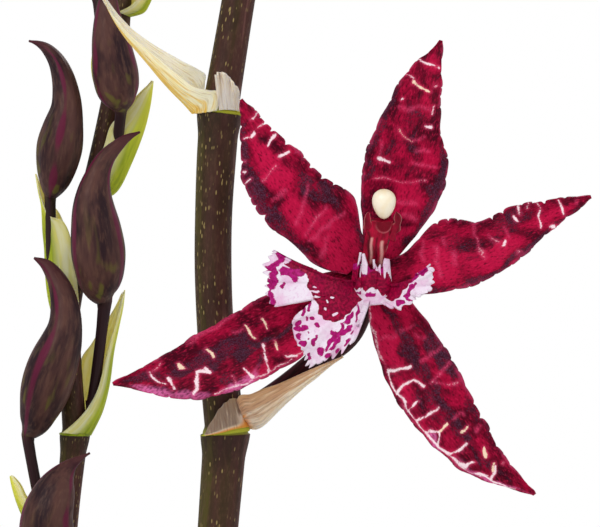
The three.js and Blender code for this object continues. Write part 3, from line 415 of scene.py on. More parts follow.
# %% The strokes on the tepals
STROKES = {
    "dorsal_sepal": [
        ("pale", 0.5, 0.95, [(0.9, 1), (0.895, 0.6), (0.89, 0), (0.89, -0.8)]),
        ("pale", 0.4, 0.6, [(0.825, 0.95), (0.81, 0.55)]),
        ("cream", 0.7, 1, [(0.797, 0.42), (0.795, 0.1), (0.788, -0.2), (0.785, -0.35)]),
        ("pale", 0.4, 0.6, [(0.81, -0.6), (0.812, -0.7)]),
        ("pale", 0.6, 0.7, [(0.72, 0.6), (0.722, 0.55)]),
        ("pale", 0.4, 0.35, [(0.69, 0.55), (0.69, 0.2), (0.71, -0.3), (0.72, -0.7)]),
        ("cream", 0.5, 0.55, [(0.6, 0.4), (0.58, 0.15), (0.565, -0.05)]),
        ("pale", 0.4, 0.3, [(0.565, 0), (0.6, -0.4)]),
        ("pale", 0.6, 0.8, [(0.64, -0.5), (0.645, -0.65)]),
        ("pale", 0.6, 0.8, [(0.46, 0.7), (0.463, 0.4)]),
        ("pale", 0.35, 0.4, [(0.53, 0.75), (0.45, 0.65)]),
        ("pale", 0.45, 0.5, [(0.385, 0.7), (0.395, 0.35), (0.395, 0), (0.42, -0.35), (0.43, -0.55)]),
        ("pale", 0.5, 0.4, [(0.49, -0.2), (0.49, -0.7)]),
        ("pale", 0.5, 0.3, [(0.54, -0.2), (0.54, -0.5)]),
        ("pale", 0.6, 0.3, [(0.32, 0), (0.33, -0.5)]),
        ("pale", 0.6, 0.4, [(0.27, -0.3), (0.27, -0.7)]),
        ("pale", 0.4, 0.6, [(0.7, -0.72), (0.73, -0.72)]),
    ],
    "left_petal": [
        ("pale", 0.65, 0.95, [(0.845, 0.62), (0.835, 0.3), (0.84, -0.1)]),
        ("pale", 0.5, 0.8, [(0.85, -0.5), (0.85, -1)]),
        ("pale", 0.5, 0.9, [(0.9, -0.4), (0.905, -1)]),
        ("pale", 0.5, 0.8, [(0.76, -0.42), (0.77, -0.7), (0.785, -0.95)]),
        ("pale", 0.6, 0.8, [(0.69, -0.45), (0.68, -0.6), (0.675, -0.8)]),
        ("pale", 0.5, 0.5, [(0.645, 0.4), (0.65, 0.1), (0.66, -0.25)]),
        ("pale", 0.5, 0.35, [(0.54, 0.45), (0.545, 0)]),
        ("pale", 0.55, 0.45, [(0.395, 0.5), (0.42, 0.2), (0.44, -0.05), (0.48, -0.3), (0.5, -0.5)]),
        ("pale", 0.55, 0.45, [(0.33, 0.55), (0.36, 0.1), (0.37, -0.3)]),
        ("pale", 0.5, 0.35, [(0.29, 0.6), (0.3, 0.2), (0.31, -0.3), (0.3, -0.6)]),
        ("pale", 0.7, 0.25, [(0.2, 0.7), (0.26, 0.2)]),
        ("pale", 0.5, 0.9, [(0.68, 1), (0.68, 0.78)]),
        ("pale", 0.4, 0.8, [(0.73, 1), (0.72, 0.88)]),
        ("pale", 0.4, 0.5, [(0.77, 0.95), (0.76, 0.8)]),
    ],
    "right_petal": [
        ("pale", 0.5, 0.9, [(0.69, 1), (0.685, 0.65)]),
        ("pale", 0.4, 0.7, [(0.77, 1), (0.765, 0.5), (0.76, 0), (0.745, -0.4)]),
        ("pale", 0.5, 0.8, [(0.86, 0.9), (0.86, 0.3), (0.865, -0.4)]),
        ("pale", 0.4, 0.7, [(0.725, 1), (0.72, 0.85)]),
        ("pale", 0.7, 0.9, [(0.655, 0.55), (0.66, 0.4)]),
        ("pale", 0.5, 0.4, [(0.61, 0.4), (0.605, 0)]),
        ("pale", 0.7, 0.7, [(0.585, -0.1), (0.57, -0.2)]),
        ("pale", 0.55, 0.5, [(0.53, 0.3), (0.56, 0)]),
        ("pale", 0.6, 0.5, [(0.48, 0.5), (0.47, 0.1), (0.48, -0.3)]),
        ("pale", 0.5, 0.4, [(0.48, 0.85), (0.47, 0.55)]),
        ("pale", 0.5, 0.4, [(0.36, 0.1), (0.35, -0.3)]),
        ("pale", 0.6, 0.45, [(0.3, 0.4), (0.28, 0), (0.28, -0.5)]),
        ("pale", 0.5, 0.4, [(0.34, 0.5), (0.34, 0.3)]),
        ("pale", 0.5, 0.3, [(0.25, 0.8), (0.23, 0.3)]),
        ("pale", 0.5, 0.5, [(0.62, -0.8), (0.63, -0.9)]),
        ("pale", 0.5, 0.8, [(0.79, -0.75), (0.805, -0.9)]),
        ("pale", 0.4, 0.4, [(0.93, 0.3), (0.93, -0.2)]),
    ],
    "left_sepal": [
        ("pale", 0.4, 0.6, [(0.33, 0.93), (0.45, 0.94), (0.56, 0.95), (0.68, 0.95)]),
        ("pale", 0.5, 0.7, [(0.36, 0.95), (0.39, 0.7)]),
        ("cream", 0.6, 0.8, [(0.405, 0.5), (0.41, 0.2)]),
        ("pale", 0.7, 1, [(0.47, 0.9), (0.465, 0.5), (0.45, 0.2)]),
        ("pale", 0.6, 0.8, [(0.53, 0.9), (0.545, 0.5)]),
        ("pale", 0.5, 0.5, [(0.59, 0.9), (0.595, 0.6)]),
        ("cream", 0.5, 0.7, [(0.415, -0.15), (0.42, -0.5)]),
        ("cream", 0.5, 0.7, [(0.465, -0.1), (0.475, -0.35), (0.485, -0.55)]),
        ("pale", 0.5, 0.4, [(0.5, -0.5), (0.53, -0.55)]),
        ("pale", 0.7, 1, [(0.66, 0.2), (0.675, 0.05)]),
        ("pale", 0.7, 1, [(0.67, 0.15), (0.7, 0.08), (0.715, 0.35), (0.73, 0.7), (0.745, 0.9)]),
        ("cream", 0.9, 1, [(0.63, -0.15), (0.64, -0.4)]),
        ("cream", 0.8, 1, [(0.75, -0.25), (0.755, -0.45)]),
        ("pale", 0.6, 0.9, [(0.85, 0), (0.86, -0.2), (0.86, -0.5)]),
        ("pale", 0.45, 0.5, [(0.86, -0.5), (0.84, -0.65), (0.81, -0.8)]),
        ("pale", 0.6, 0.7, [(0.8, 0.5), (0.805, 0)]),
        ("pale", 0.6, 0.7, [(0.83, 0.3), (0.85, 0)]),
        ("pale", 0.4, 0.45, [(0.5, -0.95), (0.6, -0.95), (0.7, -0.95)]),
    ],
    "right_sepal": [
        ("pale", 0.6, 0.45, [(0.225, -0.15), (0.21, -0.5), (0.2, -1)]),
        ("pale", 0.6, 0.8, [(0.35, -0.15), (0.33, -0.5), (0.32, -0.9)]),
        ("pale", 0.6, 1, [(0.435, -0.12), (0.4, -0.3), (0.39, -0.6), (0.4, -0.9)]),
        ("pale", 0.5, 0.95, [(0.47, -0.5), (0.475, -0.9)]),
        ("pale", 0.5, 0.7, [(0.53, -0.1), (0.525, -0.5), (0.525, -0.9)]),
        ("cream", 0.9, 1, [(0.6, -0.15), (0.6, -0.45)]),
        ("pale", 0.55, 0.95, [(0.6, -0.5), (0.57, -0.9)]),
        ("pale", 0.55, 0.95, [(0.6, -0.5), (0.645, -0.9)]),
        ("pale", 0.7, 1, [(0.7, -0.1), (0.7, -0.5), (0.69, -0.8), (0.65, -0.9)]),
        ("pale", 0.6, 1, [(0.765, -0.4), (0.765, -0.75), (0.74, -0.9)]),
        ("pale", 0.6, 0.9, [(0.83, 0.2), (0.845, -0.2), (0.86, -0.6)]),
        ("pale", 0.5, 0.6, [(0.84, -0.5), (0.82, -0.9)]),
        ("pale", 0.4, 0.9, [(0.32, -0.9), (0.45, -0.91), (0.6, -0.92), (0.75, -0.92), (0.9, -0.9), (1, -0.9)]),
        ("pale", 0.5, 0.55, [(0.05, -0.93), (0.15, -0.94), (0.3, -0.95)]),
        ("pale", 0.5, 0.3, [(0.36, 0.85), (0.36, 0.2)]),
        ("pale", 0.5, 0.45, [(0.42, 0.9), (0.44, 0.25), (0.44, 0.1)]),
        ("pale", 0.5, 0.5, [(0.5, 0.9), (0.48, 0.5), (0.44, 0.15)]),
        ("cream", 0.8, 1, [(0.65, 0.35), (0.655, 0.1)]),
        ("pale", 0.5, 0.35, [(0.6, 0.5), (0.6, 0.1)]),
        ("pale", 0.5, 0.4, [(0.67, 0.8), (0.68, 0.5)]),
        ("cream", 0.6, 0.9, [(0.75, 0.5), (0.78, 0.2)]),
        ("cream", 0.6, 1, [(0.82, 0.25), (0.83, 0)]),
        ("pale", 0.5, 0.4, [(0.29, 0.6), (0.27, 0.4)]),
        ("pale", 0.5, 0.3, [(0.24, 0.6), (0.23, 0.1)]),
        ("pale", 0.5, 0.5, [(0.83, 0.9), (0.835, 0.7)]),
    ],
}

# %% [markdown]
# Patches are softer: where the red is darkest, under a painted violet sheen, and where it glows. Each has its middle t,
# v, its half length and half width in the same coordinates, and its strength. A pink patch is washed with magenta.

# %% The patches on the tepals
PATCHES = {
    "dorsal_sepal": [
        ("dark", 0.36, -0.95, 0.24, 0.22, 1), ("dark", 0.5, 0.95, 0.35, 0.16, 0.8), ("dark", 0.6, 0.1, 0.1, 0.4, 0.5),
        ("dark", 0.5, 0.5, 0.05, 0.4, 0.5), ("dark", 0.68, -0.1, 0.05, 0.6, 0.5), ("dark", 0.46, -0.4, 0.03, 0.5, 0.4),
        ("glow", 0.14, -0.6, 0.09, 0.4, 1), ("glow", 0.33, -0.3, 0.09, 0.4, 0.5), ("glow", 0.9, 0, 0.06, 0.9, 0.4),
    ],
    "left_petal": [
        ("dark", 0.62, 0.8, 0.34, 0.32, 1), ("dark", 0.47, -0.55, 0.17, 0.3, 0.9), ("dark", 0.85, 0.75, 0.1, 0.4, 0.7),
        ("dark", 0.25, 1, 0.2, 0.14, 0.9), ("glow", 0.3, 0.25, 0.22, 0.5, 1), ("glow", 0.68, 0, 0.14, 0.45, 1),
        ("glow", 0.14, 0.6, 0.07, 0.5, 1), ("glow", 0.2, -0.4, 0.1, 0.4, 0.5), ("dark", 0.15, -0.9, 0.1, 0.3, 0.7),
    ],
    "right_petal": [
        ("dark", 0.6, -0.92, 0.4, 0.2, 1), ("dark", 0.4, 0.2, 0.07, 0.4, 0.6), ("dark", 0.62, 0.45, 0.13, 0.5, 0.6),
        ("dark", 0.2, -0.9, 0.15, 0.2, 0.6), ("glow", 0.27, 0, 0.1, 0.7, 1), ("glow", 0.5, -0.3, 0.14, 0.4, 0.8),
        ("glow", 0.85, -0.1, 0.12, 0.4, 0.5),
    ],
    "left_sepal": [
        ("dark", 0.66, -0.15, 0.24, 0.42, 1), ("dark", 0.4, 0.1, 0.3, 0.12, 0.9), ("dark", 0.9, -0.3, 0.07, 0.5, 1),
        ("dark", 0.63, 0.62, 0.04, 0.2, 0.8), ("dark", 0.5, 0.65, 0.04, 0.2, 0.8), ("dark", 0.74, -0.1, 0.07, 0.4, 0.8),
        ("glow", 0.25, 0.6, 0.12, 0.4, 0.8), ("glow", 0.22, -0.5, 0.12, 0.4, 0.6), ("pink", 0.87, 0.75, 0.08, 0.45, 1),
        ("pink", 0.57, 0.95, 0.11, 0.18, 0.9), ("pink", 0.77, 0.9, 0.06, 0.2, 0.7),
    ],
    "right_sepal": [
        ("dark", 0.38, 0.8, 0.16, 0.3, 1), ("dark", 0.5, 0.02, 0.5, 0.3, 0.75), ("dark", 0.63, 0.85, 0.12, 0.2, 0.6),
        ("glow", 0.2, -0.55, 0.15, 0.4, 1), ("glow", 0.14, 0.5, 0.1, 0.3, 0.7), ("glow", 0.45, -0.6, 0.08, 0.3, 0.6),
        ("pink", 0.62, -0.88, 0.05, 0.16, 1), ("pink", 0.85, -0.8, 0.12, 0.24, 0.7), ("dark", 0.5, -0.35, 0.1, 0.14, 0.5),
    ],
}

# %% Working out a tepal
def frilled(values, depth, form, place, seed):
    """A margin's distance from the axis: the curve through its measured values, less narrow notches between rounded
    lobes. A notch is (1 - |sin|)^3 of the lobes counted so far, which wander a little off even."""
    frill = form["frill"]
    lobes = frill["lobes"] * place + 0.3 * wander(place, seed, 2, 6)
    notch = (1 - np.abs(np.sin(math.pi * lobes))) ** 3 - 0.25
    uneven = 0.75 + 0.45 * wander(place, seed + 1, 2, 5)
    where = smooth(frill["start"], frill["start"] + 0.12, place) * (1 - smooth(0.88, 0.99, place))
    return through(values, place) - depth * notch * uneven * where


def aside(form, t, v):
    """How far a point t, v of a tepal lies to the left of its axis, by its measured margins."""
    return (v + 1) / 2 * through(form["left"], np.asarray(t)) + (v - 1) / 2 * through(form["right"], np.asarray(t))


def stroke(x, y, line, width, fade):
    """How much of a stroke's colour each point gets: 1 within half the width of the line, and none past the fade.
    The distance to a piece of the line is that to its nearest point, found by the share of the way along it."""
    near = np.full(np.shape(x), np.inf)
    for (ax, ay), (bx, by) in zip(line, line[1:]):
        share = np.clip(((x - ax) * (bx - ax) + (y - ay) * (by - ay)) / ((bx - ax) ** 2 + (by - ay) ** 2), 0, 1)
        near = np.minimum(near, np.hypot(x - lerp(ax, bx, share), y - lerp(ay, by, share)))
    return 1 - smooth(width / 2 - fade / 2, width / 2 + fade / 2, near)


def tepal_marks(name, form, along, across, v, seed):
    """The marks of a tepal on its grid: strokes and patches, drawn over coordinates that waver by a fifth of a
    millimetre, so that no edge is a ruler's. A stroke is a wide soft band, and a core that only a strong one shows."""
    x = along + 0.2 * mottle(along, across, 1.6, seed)
    y = across + 0.2 * mottle(along, across, 1.8, seed + 1)
    marks = {key: np.zeros(along.shape) for key in ("pale", "cream", "band", "dark", "glow", "pink")}
    for kind, width, strength, path in STROKES[name]:
        line = [(t * form["length"], float(aside(form, t, w))) for t, w in path]
        swell = width * (1 + 0.4 * mottle(along, across, 1.2, seed + 2))
        core = float(smooth(0.3, 0.75, strength))
        marks[kind] = np.maximum(marks[kind], core * stroke(x, y, line, 0.7 * swell, 0.36))
        marks["band"] = np.maximum(marks["band"], (0.5 + 0.5 * strength) * stroke(x, y, line, 0.25 + 0.6 * swell, 0.8))
    t = along / form["length"] + 0.02 * mottle(along, across, 3, seed + 3)
    w = v + 0.1 * mottle(along, across, 2.5, seed + 4)
    for kind, at_t, at_v, half_t, half_v, strength in PATCHES[name]:
        off = np.hypot((t - at_t) / half_t, (w - at_v) / half_v)
        marks[kind] = np.maximum(marks[kind], strength * (1 - smooth(0.45, 1.25, off)))
    return marks


def tepal(name, root, rows, columns, seed):
    """A tepal in the bloom's own frame, x to the right, z up and y away from whoever faces it. A point at reach r
    along the axis lies aside by its share of the margins. Its depth is that of the midline, plus a hollow that is
    deepest along the middle, plus a ripple that grows towards the margins, plus the crease of the keel."""
    form = TEPALS[name]
    u = np.linspace(0, 1, rows)[:, None]
    v = np.linspace(-1, 1, columns)[None, :]
    reach = lerp(root, form["length"], u)
    place = reach / form["length"]
    left = frilled(form["left"], form["frill"]["left"], form, place, seed + 10)
    right = frilled(form["right"], form["frill"]["right"], form, place, seed + 20)
    side = (v + 1) / 2 * left + (v - 1) / 2 * right
    hollow = form["hollow"] * (1 - np.abs(v) ** 1.5) * np.sin(math.pi * u) ** 0.8
    ripple = form["ripple"] * np.abs(v) ** 3 * np.sin(TURN * form["waves"] * u + 2 * v) * np.sin(math.pi * u)
    curl = 0.3 * np.abs(v) ** 5 * wander(u, seed + 30, 4, 9) * np.sin(math.pi * u) * np.sign(v)
    crease = form["crease"] * np.exp(-((v / 0.07) ** 2)) * np.sin(math.pi * u)
    depth = through(form["back"], u) + hollow + ripple + curl + crease
    angle = math.radians(form["angle"])
    along, across = reach + 0 * v, side
    front = np.stack(
        [
            math.cos(angle) * along - math.sin(angle) * across,
            depth + 0 * along,
            math.sin(angle) * along + math.cos(angle) * across,
        ],
        -1,
    )
    marks = tepal_marks(name, form, along, across, v + 0 * along, seed)
    marks["skin"] = np.stack([along, across, np.full(along.shape, 7.3 * seed)], -1)
    marks["rim"] = smooth(0.9, 1, np.abs(v)) + 0 * along
    return sheet(front, np.full(along.shape, 0.55), **marks)


def placed(surface, bloom):
    """A surface moved from the bloom's own frame to its place on the plant: mirrored in x if the bloom is, rolled
    about y, turned about the upright, and set down at its centre. A mirrored one has its faces turned outwards."""
    points, quads, triangles, marks = surface
    roll, turn = math.radians(-bloom["roll"]), math.radians(bloom["turn"])
    x, y, z = points[:, 0] * bloom["mirror"], points[:, 1], points[:, 2]
    x, z = x * math.cos(roll) + z * math.sin(roll), z * math.cos(roll) - x * math.sin(roll)
    x, y = x * math.cos(turn) - y * math.sin(turn), x * math.sin(turn) + y * math.cos(turn)
    moved = np.stack([x, y, z], -1) + np.array(bloom["centre"])
    return (moved, *outward(moved, quads, triangles), marks)


# %% [markdown]
# ## The skin of a tepal
# Under the lens a crimson petal is made of small cells that glitter: brighter and darker grains about a third of a
# millimetre across, drawn out along the petal. The finish mixes a deep and a bright crimson by soft patches, adds
# the grain, then lays the marks over it: a painted violet-grey sheen on the dark parts, pink round the strokes, white
# in them.

# %% The finish of the tepals
petal_skin = Finish("tepal_skin", Roughness=0.6, Specular_IOR_Level=0.05)
grain = petal_skin.noise(petal_skin.place((1.5, 3.4, 1), "skin"), detail=3)
fleck = petal_skin.noise(petal_skin.place((3, 5, 1), "skin"), detail=2, roughness=0.6)
cloud = petal_skin.noise(petal_skin.place((0.24, 0.42, 1), "skin"), detail=4, distortion=0.6)
net = petal_skin.cells(petal_skin.place((0.2, 0.26, 1), "skin"))
tone = petal_skin.math("MULTIPLY_ADD", petal_skin.mark("glow"), 0.42)
petal_skin.links.new(petal_skin.math("ADD", cloud, petal_skin.steps(net, 0.15, 0.75, -0.12, 0.14)), tone.node.inputs[2])
red = petal_skin.mix(petal_skin.steps(tone, 0.34, 0.84), "#4c0219", "#ac0838")
red = petal_skin.mix(petal_skin.math("MULTIPLY", petal_skin.mark("glow"), 0.5), red, "#cb184b")
red = petal_skin.mix(petal_skin.steps(grain, 0.5, 0.74, 0, 0.5), red, "#d81f50")
red = petal_skin.mix(petal_skin.steps(grain, 0.47, 0.28, 0, 0.75), red, "#2c0312")
shade = petal_skin.math("ADD", petal_skin.mark("dark"), petal_skin.steps(cloud, 0.55, 0.3, -0.12, 0.4))
shade = petal_skin.math("ADD", shade, petal_skin.steps(fleck, 0.3, 0.7, -0.3, 0.3))
shade = petal_skin.steps(shade, 0.05, 1.1)
red = petal_skin.mix(petal_skin.math("MULTIPLY", shade, 0.85), red, "#340a1c")
fine = petal_skin.noise(petal_skin.place((6, 9, 1), "skin"), detail=2, roughness=0.6)
# The violet-grey on the dark parts is a painted sheen: reflected light put into the colour.
painted_sheen = petal_skin.math("MULTIPLY", petal_skin.steps(fine, 0.45, 0.65), petal_skin.steps(shade, 0.3, 1, 0, 0.5))
red = petal_skin.mix(painted_sheen, red, "#6a4a66")
rosy = petal_skin.math("MULTIPLY", petal_skin.mark("band"), petal_skin.steps(fleck, 0.35, 0.6, 0.25, 1))
red = petal_skin.mix(rosy, red, "#e2406f")
washed = petal_skin.math("MULTIPLY", petal_skin.mark("pink"), petal_skin.steps(grain, 0.3, 0.62, 0.2, 0.9))
red = petal_skin.mix(washed, red, "#d869a4")
lined = petal_skin.math("MULTIPLY", petal_skin.mark("rim"), petal_skin.steps(cloud, 0.4, 0.62, 0.05, 0.5))
red = petal_skin.mix(lined, red, "#c7426f")
rough_edge = petal_skin.steps(fleck, 0.3, 0.7, -0.16, 0.16)
pale = petal_skin.steps(petal_skin.math("ADD", petal_skin.mark("pale"), rough_edge), 0.25, 0.95)
red = petal_skin.mix(pale, red, "#fbe3ea")
cream = petal_skin.steps(petal_skin.math("ADD", petal_skin.mark("cream"), rough_edge), 0.3, 0.9)
red = petal_skin.mix(cream, red, "#f8dcc0")
relief = petal_skin.bump(grain, 0.12, 0.6)
petal_skin.paint(red, petal_skin.steps(fleck, 0.3, 0.7, 0.6, 0.4), relief)

# %% [markdown]
# The first bloom is the one that the photograph shows from near, so its tepals are five pieces on fine grids. The
# same forms, on coarser grids, make the two blooms above it.

# %% The tepals of the first bloom
BLOOMS = {
    "bloom_1": {"centre": (14, -75, 400.1), "turn": 0, "roll": 0, "mirror": 1},
    "bloom_2": {"centre": (22, -66, 497), "turn": 50, "roll": 4, "mirror": -1},
    "bloom_3": {"centre": (-35, -50, 545), "turn": -75, "roll": -6, "mirror": 1},
}
ROOT_RADIUS = 2.55
for seed, name in enumerate(TEPALS):
    surface = placed(tepal(name, ROOT_RADIUS, 176, 60, seed + 1), BLOOMS["bloom_1"])
    make(f"bloom_1_{name}_skin", surface, petal_skin, [f"bloom_1_{name}"])

# %% The tepals of the other blooms
FUSED_ROOT_RADIUS = 1.6
for bloom in ("bloom_2", "bloom_3"):
    parts = [tepal(name, FUSED_ROOT_RADIUS, 84, 20, seed + 1) for seed, name in enumerate(TEPALS)]
    make(f"{bloom}_star", placed(join(*parts), BLOOMS[bloom]), petal_skin, [f"{bloom}_tepals"])

# %% [markdown]
# ## The lip
# The lip is the broad lower petal where an insect lands. It spreads from a narrow root like a fan: two side lobes and
# a middle lobe, comes forward as it leaves the column, and rolls back at its rim. Its margin was read off the
# photograph as angles and reaches about the root. The middle is crimson out to a border that is also read by angle,
# and the rest is white with a pink tinge and magenta spots.

# %% The lip's shape
LIP_ROOT = (0, -2.1, -1.4)
LIP_ROOT_RADIUS = 0.95
LIP_FORWARD = 7.8
LIP_MARGIN = [
    (-197, 16.9), (-195, 17.4), (-187.4, 18), (-181.6, 17.3), (-177.6, 17.5), (-170.6, 17.3), (-166, 16.3),
    (-163.5, 10.7), (-159, 12.5), (-155, 14.3), (-150.5, 15.2), (-142, 16), (-136, 16.1), (-131, 16.8), (-127, 17.3),
    (-122.5, 15.2), (-116, 13), (-110, 10.3), (-109, 6.7), (-106, 3.2), (-82, 3.3), (-59, 4.1), (-46, 5.7),
    (-25, 7.2), (-17, 7.2), (-10, 9), (0, 9.8), (9, 9.7), (17, 9.8),
]


def lip_front(rows, columns):
    """The lip's upper face. A column of the grid runs from the root straight out to the margin at its angle. The
    depth is a quarter sine forward over the first 8 mm, then a square law back, with fine ruffles near the rim."""
    u = np.linspace(0, 1, rows)[:, None] ** 0.9
    place = np.linspace(0, 1, columns)[None, :]
    angle = np.radians(through([a for a, _ in LIP_MARGIN], place))
    torn = 0.35 * wander(place, 61, 25, 60) * smooth(0.5, 1, u)
    reach = through([r for _, r in LIP_MARGIN], place) + torn
    sag = 5.2 * u * (1 - u) * (np.maximum(0, 1 - place / 0.12) + np.maximum(0, 1 - (1 - place) / 0.12))
    far = lerp(LIP_ROOT_RADIUS, reach, u)
    x = far * np.cos(angle)
    z = far * np.sin(angle) + lerp(LIP_ROOT[2], LIP_ROOT[2] + 0.2, u) - sag
    out = np.hypot(x, z - LIP_ROOT[2]) - LIP_ROOT_RADIUS
    forward = LIP_FORWARD * np.sin(math.pi / 2 * np.clip(out / 8, None, 1))
    ruffle = 0.55 * u**3 * np.sin(TURN * 9 * place) + 0.22 * u**4 * wander(place, 62, 14, 30)
    y = LIP_ROOT[1] - forward + 0.06 * np.maximum(out - 8, 0) ** 2 + ruffle
    return np.stack([x, y, z], -1), u + 0 * place


# %% [markdown]
# The marks are drawn as the photograph shows them, in pixels of its frame about the bloom's middle, six to the
# millimetre. Each blot is a short line with a radius.

# %% The lip's marks
BLOOM_PIXEL = (372, 275)
STAIN_PIXEL = (372, 282)
STAIN_BORDER = [
    (-197, 70), (-192, 90), (-188, 70), (-185, 64), (-175, 64), (-165, 60), (-158, 58), (-150, 62), (-142, 60),
    (-136, 56), (-131, 50), (-126, 26), (-120, 18), (-110, 12), (-90, 8), (-68, 7), (-53, 17), (-47, 26), (-30, 30),
    (-15, 31), (0, 36), (7, 40), (17, 50),
]
LIP_BLOTS = [
    (2.5, [(303.6, 310), (302.6, 314)]), (2.6, [(297.2, 323), (299.5, 321.6)]), (2.4, [(296, 328), (298, 328.4)]),
    (2.9, [(303.2, 327.4), (305.4, 327)]), (2.7, [(298.7, 334.4), (298.9, 336.2)]), (3, [(301, 341.6), (304, 342.6)]),
    (1.6, [(307.7, 317), (307.7, 319)]), (1.6, [(310, 303), (308.8, 310)]), (1.6, [(311.4, 315.7), (312.4, 318)]),
    (2.2, [(316.4, 322.8), (317, 325)]), (1.1, [(309, 331.6), (309, 332.6)]), (1, [(309, 337.6), (309, 338.6)]),
    (2, [(316.2, 335.2), (315.6, 336.8)]), (2.6, [(313.2, 340.2), (312.4, 342.8)]), (1.8, [(308.9, 353), (308.4, 358)]),
    (3.2, [(320.8, 349.4), (320, 351.6)]), (2.8, [(326.6, 354.6), (328.8, 355.2)]), (1.8, [(337.4, 349), (336.8, 350.8)]),
    (2.2, [(331.6, 330.8), (336, 334), (341, 332), (347, 328.2)]), (2.2, [(336, 334), (332, 339), (328, 341.5)]),
    (2, [(339, 337), (335, 342), (331.6, 347.3)]), (1.8, [(328, 341.5), (326.5, 348.6)]),
    (2, [(341.8, 324.4), (341, 331)]), (2, [(347.6, 325.8), (350.4, 324.2)]), (2.4, [(351, 313), (345.5, 321)]),
    (1.9, [(347.6, 338.4), (346.4, 340)]), (1.4, [(345.7, 342.9), (344.7, 344)]), (1.1, [(356, 300), (357.6, 311), (355.6, 322)]),
    (1.2, [(352, 331), (351.4, 333)]), (3, [(279.3, 253), (281.5, 260), (275.5, 265), (267.6, 268.3)]),
    (2.6, [(267.6, 268.3), (275.5, 271)]), (3.6, [(273, 275), (274.2, 281), (272, 287)]), (2, [(267.5, 279), (269, 283)]),
    (2.8, [(271, 293.8), (273, 301.4)]), (4.6, [(284, 271), (293, 273), (301, 272)]), (2.6, [(291.5, 263.5), (295, 279)]),
    (1.7, [(283.9, 283), (282.7, 285.8)]), (1.7, [(358.6, 290.8), (362, 290.4)]), (2.8, [(368, 291.6), (371.8, 293.4)]),
    (3.4, [(408.8, 279.2), (413.6, 276.4)]), (3.2, [(419.6, 272.4), (422, 269.4)]), (2.4, [(409, 286), (404.6, 296)]),
    (2.6, [(396, 302.6), (400, 301.4)]), (1.6, [(405, 298.6), (409.4, 300)]), (1.3, [(414.5, 284), (411, 287)]),
]
LIP_SPECKS = [
    (1.3, [(331.6, 296), (333.2, 296.4)]), (1.1, [(325.4, 299.6), (327, 301.4)]), (1.1, [(324, 307.8), (324.8, 308)]),
    (1.4, [(332, 314), (335.4, 312.6)]), (0.9, [(312.5, 291), (317.6, 290.6)]), (0.9, [(315.4, 295.4), (317.6, 296.6)]),
    (1.2, [(385.6, 290), (387.4, 289.4)]), (0.8, [(312, 286.6), (316, 287.4)]),
]


def lip_marks(front, seed=5):
    """The marks of the lip. The stain is where a point's distance from the middle, as the camera sees it, is less
    than the border at its angle. Blots and specks are strokes in the same picture plane."""
    x = BLOOM_PIXEL[0] + PIXELS_PER_MM * front[..., 0]
    y = BLOOM_PIXEL[1] - PIXELS_PER_MM * front[..., 2]
    x = x + 0.9 * mottle(x, y, 5, seed)
    y = y + 0.9 * mottle(x, y, 5, seed + 1)
    dx, dy = x - STAIN_PIXEL[0], STAIN_PIXEL[1] - y
    angle = np.degrees(np.arctan2(dy, dx))
    angle = np.where(angle > 40, angle - 360, angle)
    border = np.interp(angle, [a for a, _ in STAIN_BORDER], [r for _, r in STAIN_BORDER])
    stain = 1 - smooth(-0.8, 0.8, np.hypot(dx, dy) - border)
    spot = np.zeros(x.shape)
    for radius, line in LIP_BLOTS:
        spot = np.maximum(spot, stroke(x, y, line, 2 * radius, 0.9))
    speck = np.zeros(x.shape)
    for radius, line in LIP_SPECKS:
        speck = np.maximum(speck, stroke(x, y, line, 2 * radius, 0.7))
    return {
        "stain": stain * (1 - speck),
        "spot": spot,
        "skin": front.copy(),
    }


# %% [markdown]
# At the lip's foot stands the crest, a low toothed wall that bows round the column's foot. Its teeth are blunt and
# white, and magenta where they leave the lip.

# %% The crest
def crest(rows, columns):
    """The crest's front. It is 6.2 mm tall where it bows round the column, with teeth about 2 mm higher. A tooth is
    the square of a cosine, and both its height and its place wander. Only the teeth are white, and magenta creeps up
    between them. The lowest 2 mm are white again, with two blots, like the rim of the lip that they stand on."""
    u = np.linspace(0, 1, rows)[:, None]
    v = np.linspace(-1, 1, columns)[None, :]
    tooth = np.cos(2.3 * math.pi * v + 1.3 * wander(v, 4, 0.6, 1.6)) ** 2
    high = 1.4 - 0.3 * v + 0.9 * wander(v, 7, 1, 2.4)
    tall = u * (6.2 + high * tooth**0.8)
    x = v * lerp(3.6, 2.9, u) + 0.45 * u * wander(v, 8, 1, 2.5)
    y = -4.5 + 0.9 * v**2 - 0.37 * tall + 0.3 * np.sin(9 * v) * u
    z = -4.7 + 0.9 * v**2 + 0.9 * tall
    front = np.stack([x, y, z], -1)
    white = smooth(5.7, 6.3, tall + 0.9 * wander(v + 0.3 * u, 3, 2, 5) + 1.6 * smooth(0.2, 0.8, v)) * smooth(0.15, 0.55, tooth)
    wine = 1 - 0.75 * smooth(4.8, 6.4, tall + 0.6 * wander(v, 9, 1, 3))
    below = smooth(0.2, -0.2, z + 2.1 + 1.1 * smooth(0.2, 2, x) + 0.2 * wander(v, 5, 2, 5)) * smooth(-3.2, -2.8, x)
    white = np.maximum(white, below)
    blot = smooth(1.2, 0.8, np.hypot((x + 0.4) / 0.7, (z + 3) / 0.42))
    blot = np.maximum(blot, smooth(1.2, 0.8, np.hypot((x + 2) / 0.5, (z + 2.75) / 0.25)))
    thick = lerp(0.8, 0.4, u) + 0 * v
    return sheet(front, thick, spot=1 - white * (1 - blot), stain=wine * (1 - white), skin=front.copy())


def lip(rows, columns):
    """The whole lip in the bloom's frame: its sheet, thinner towards the rim, and the crest that stands in it."""
    front, u = lip_front(rows, columns)
    return join(sheet(front, 0.75 - 0.3 * u, **lip_marks(front)), crest(rows // 3, columns // 4))


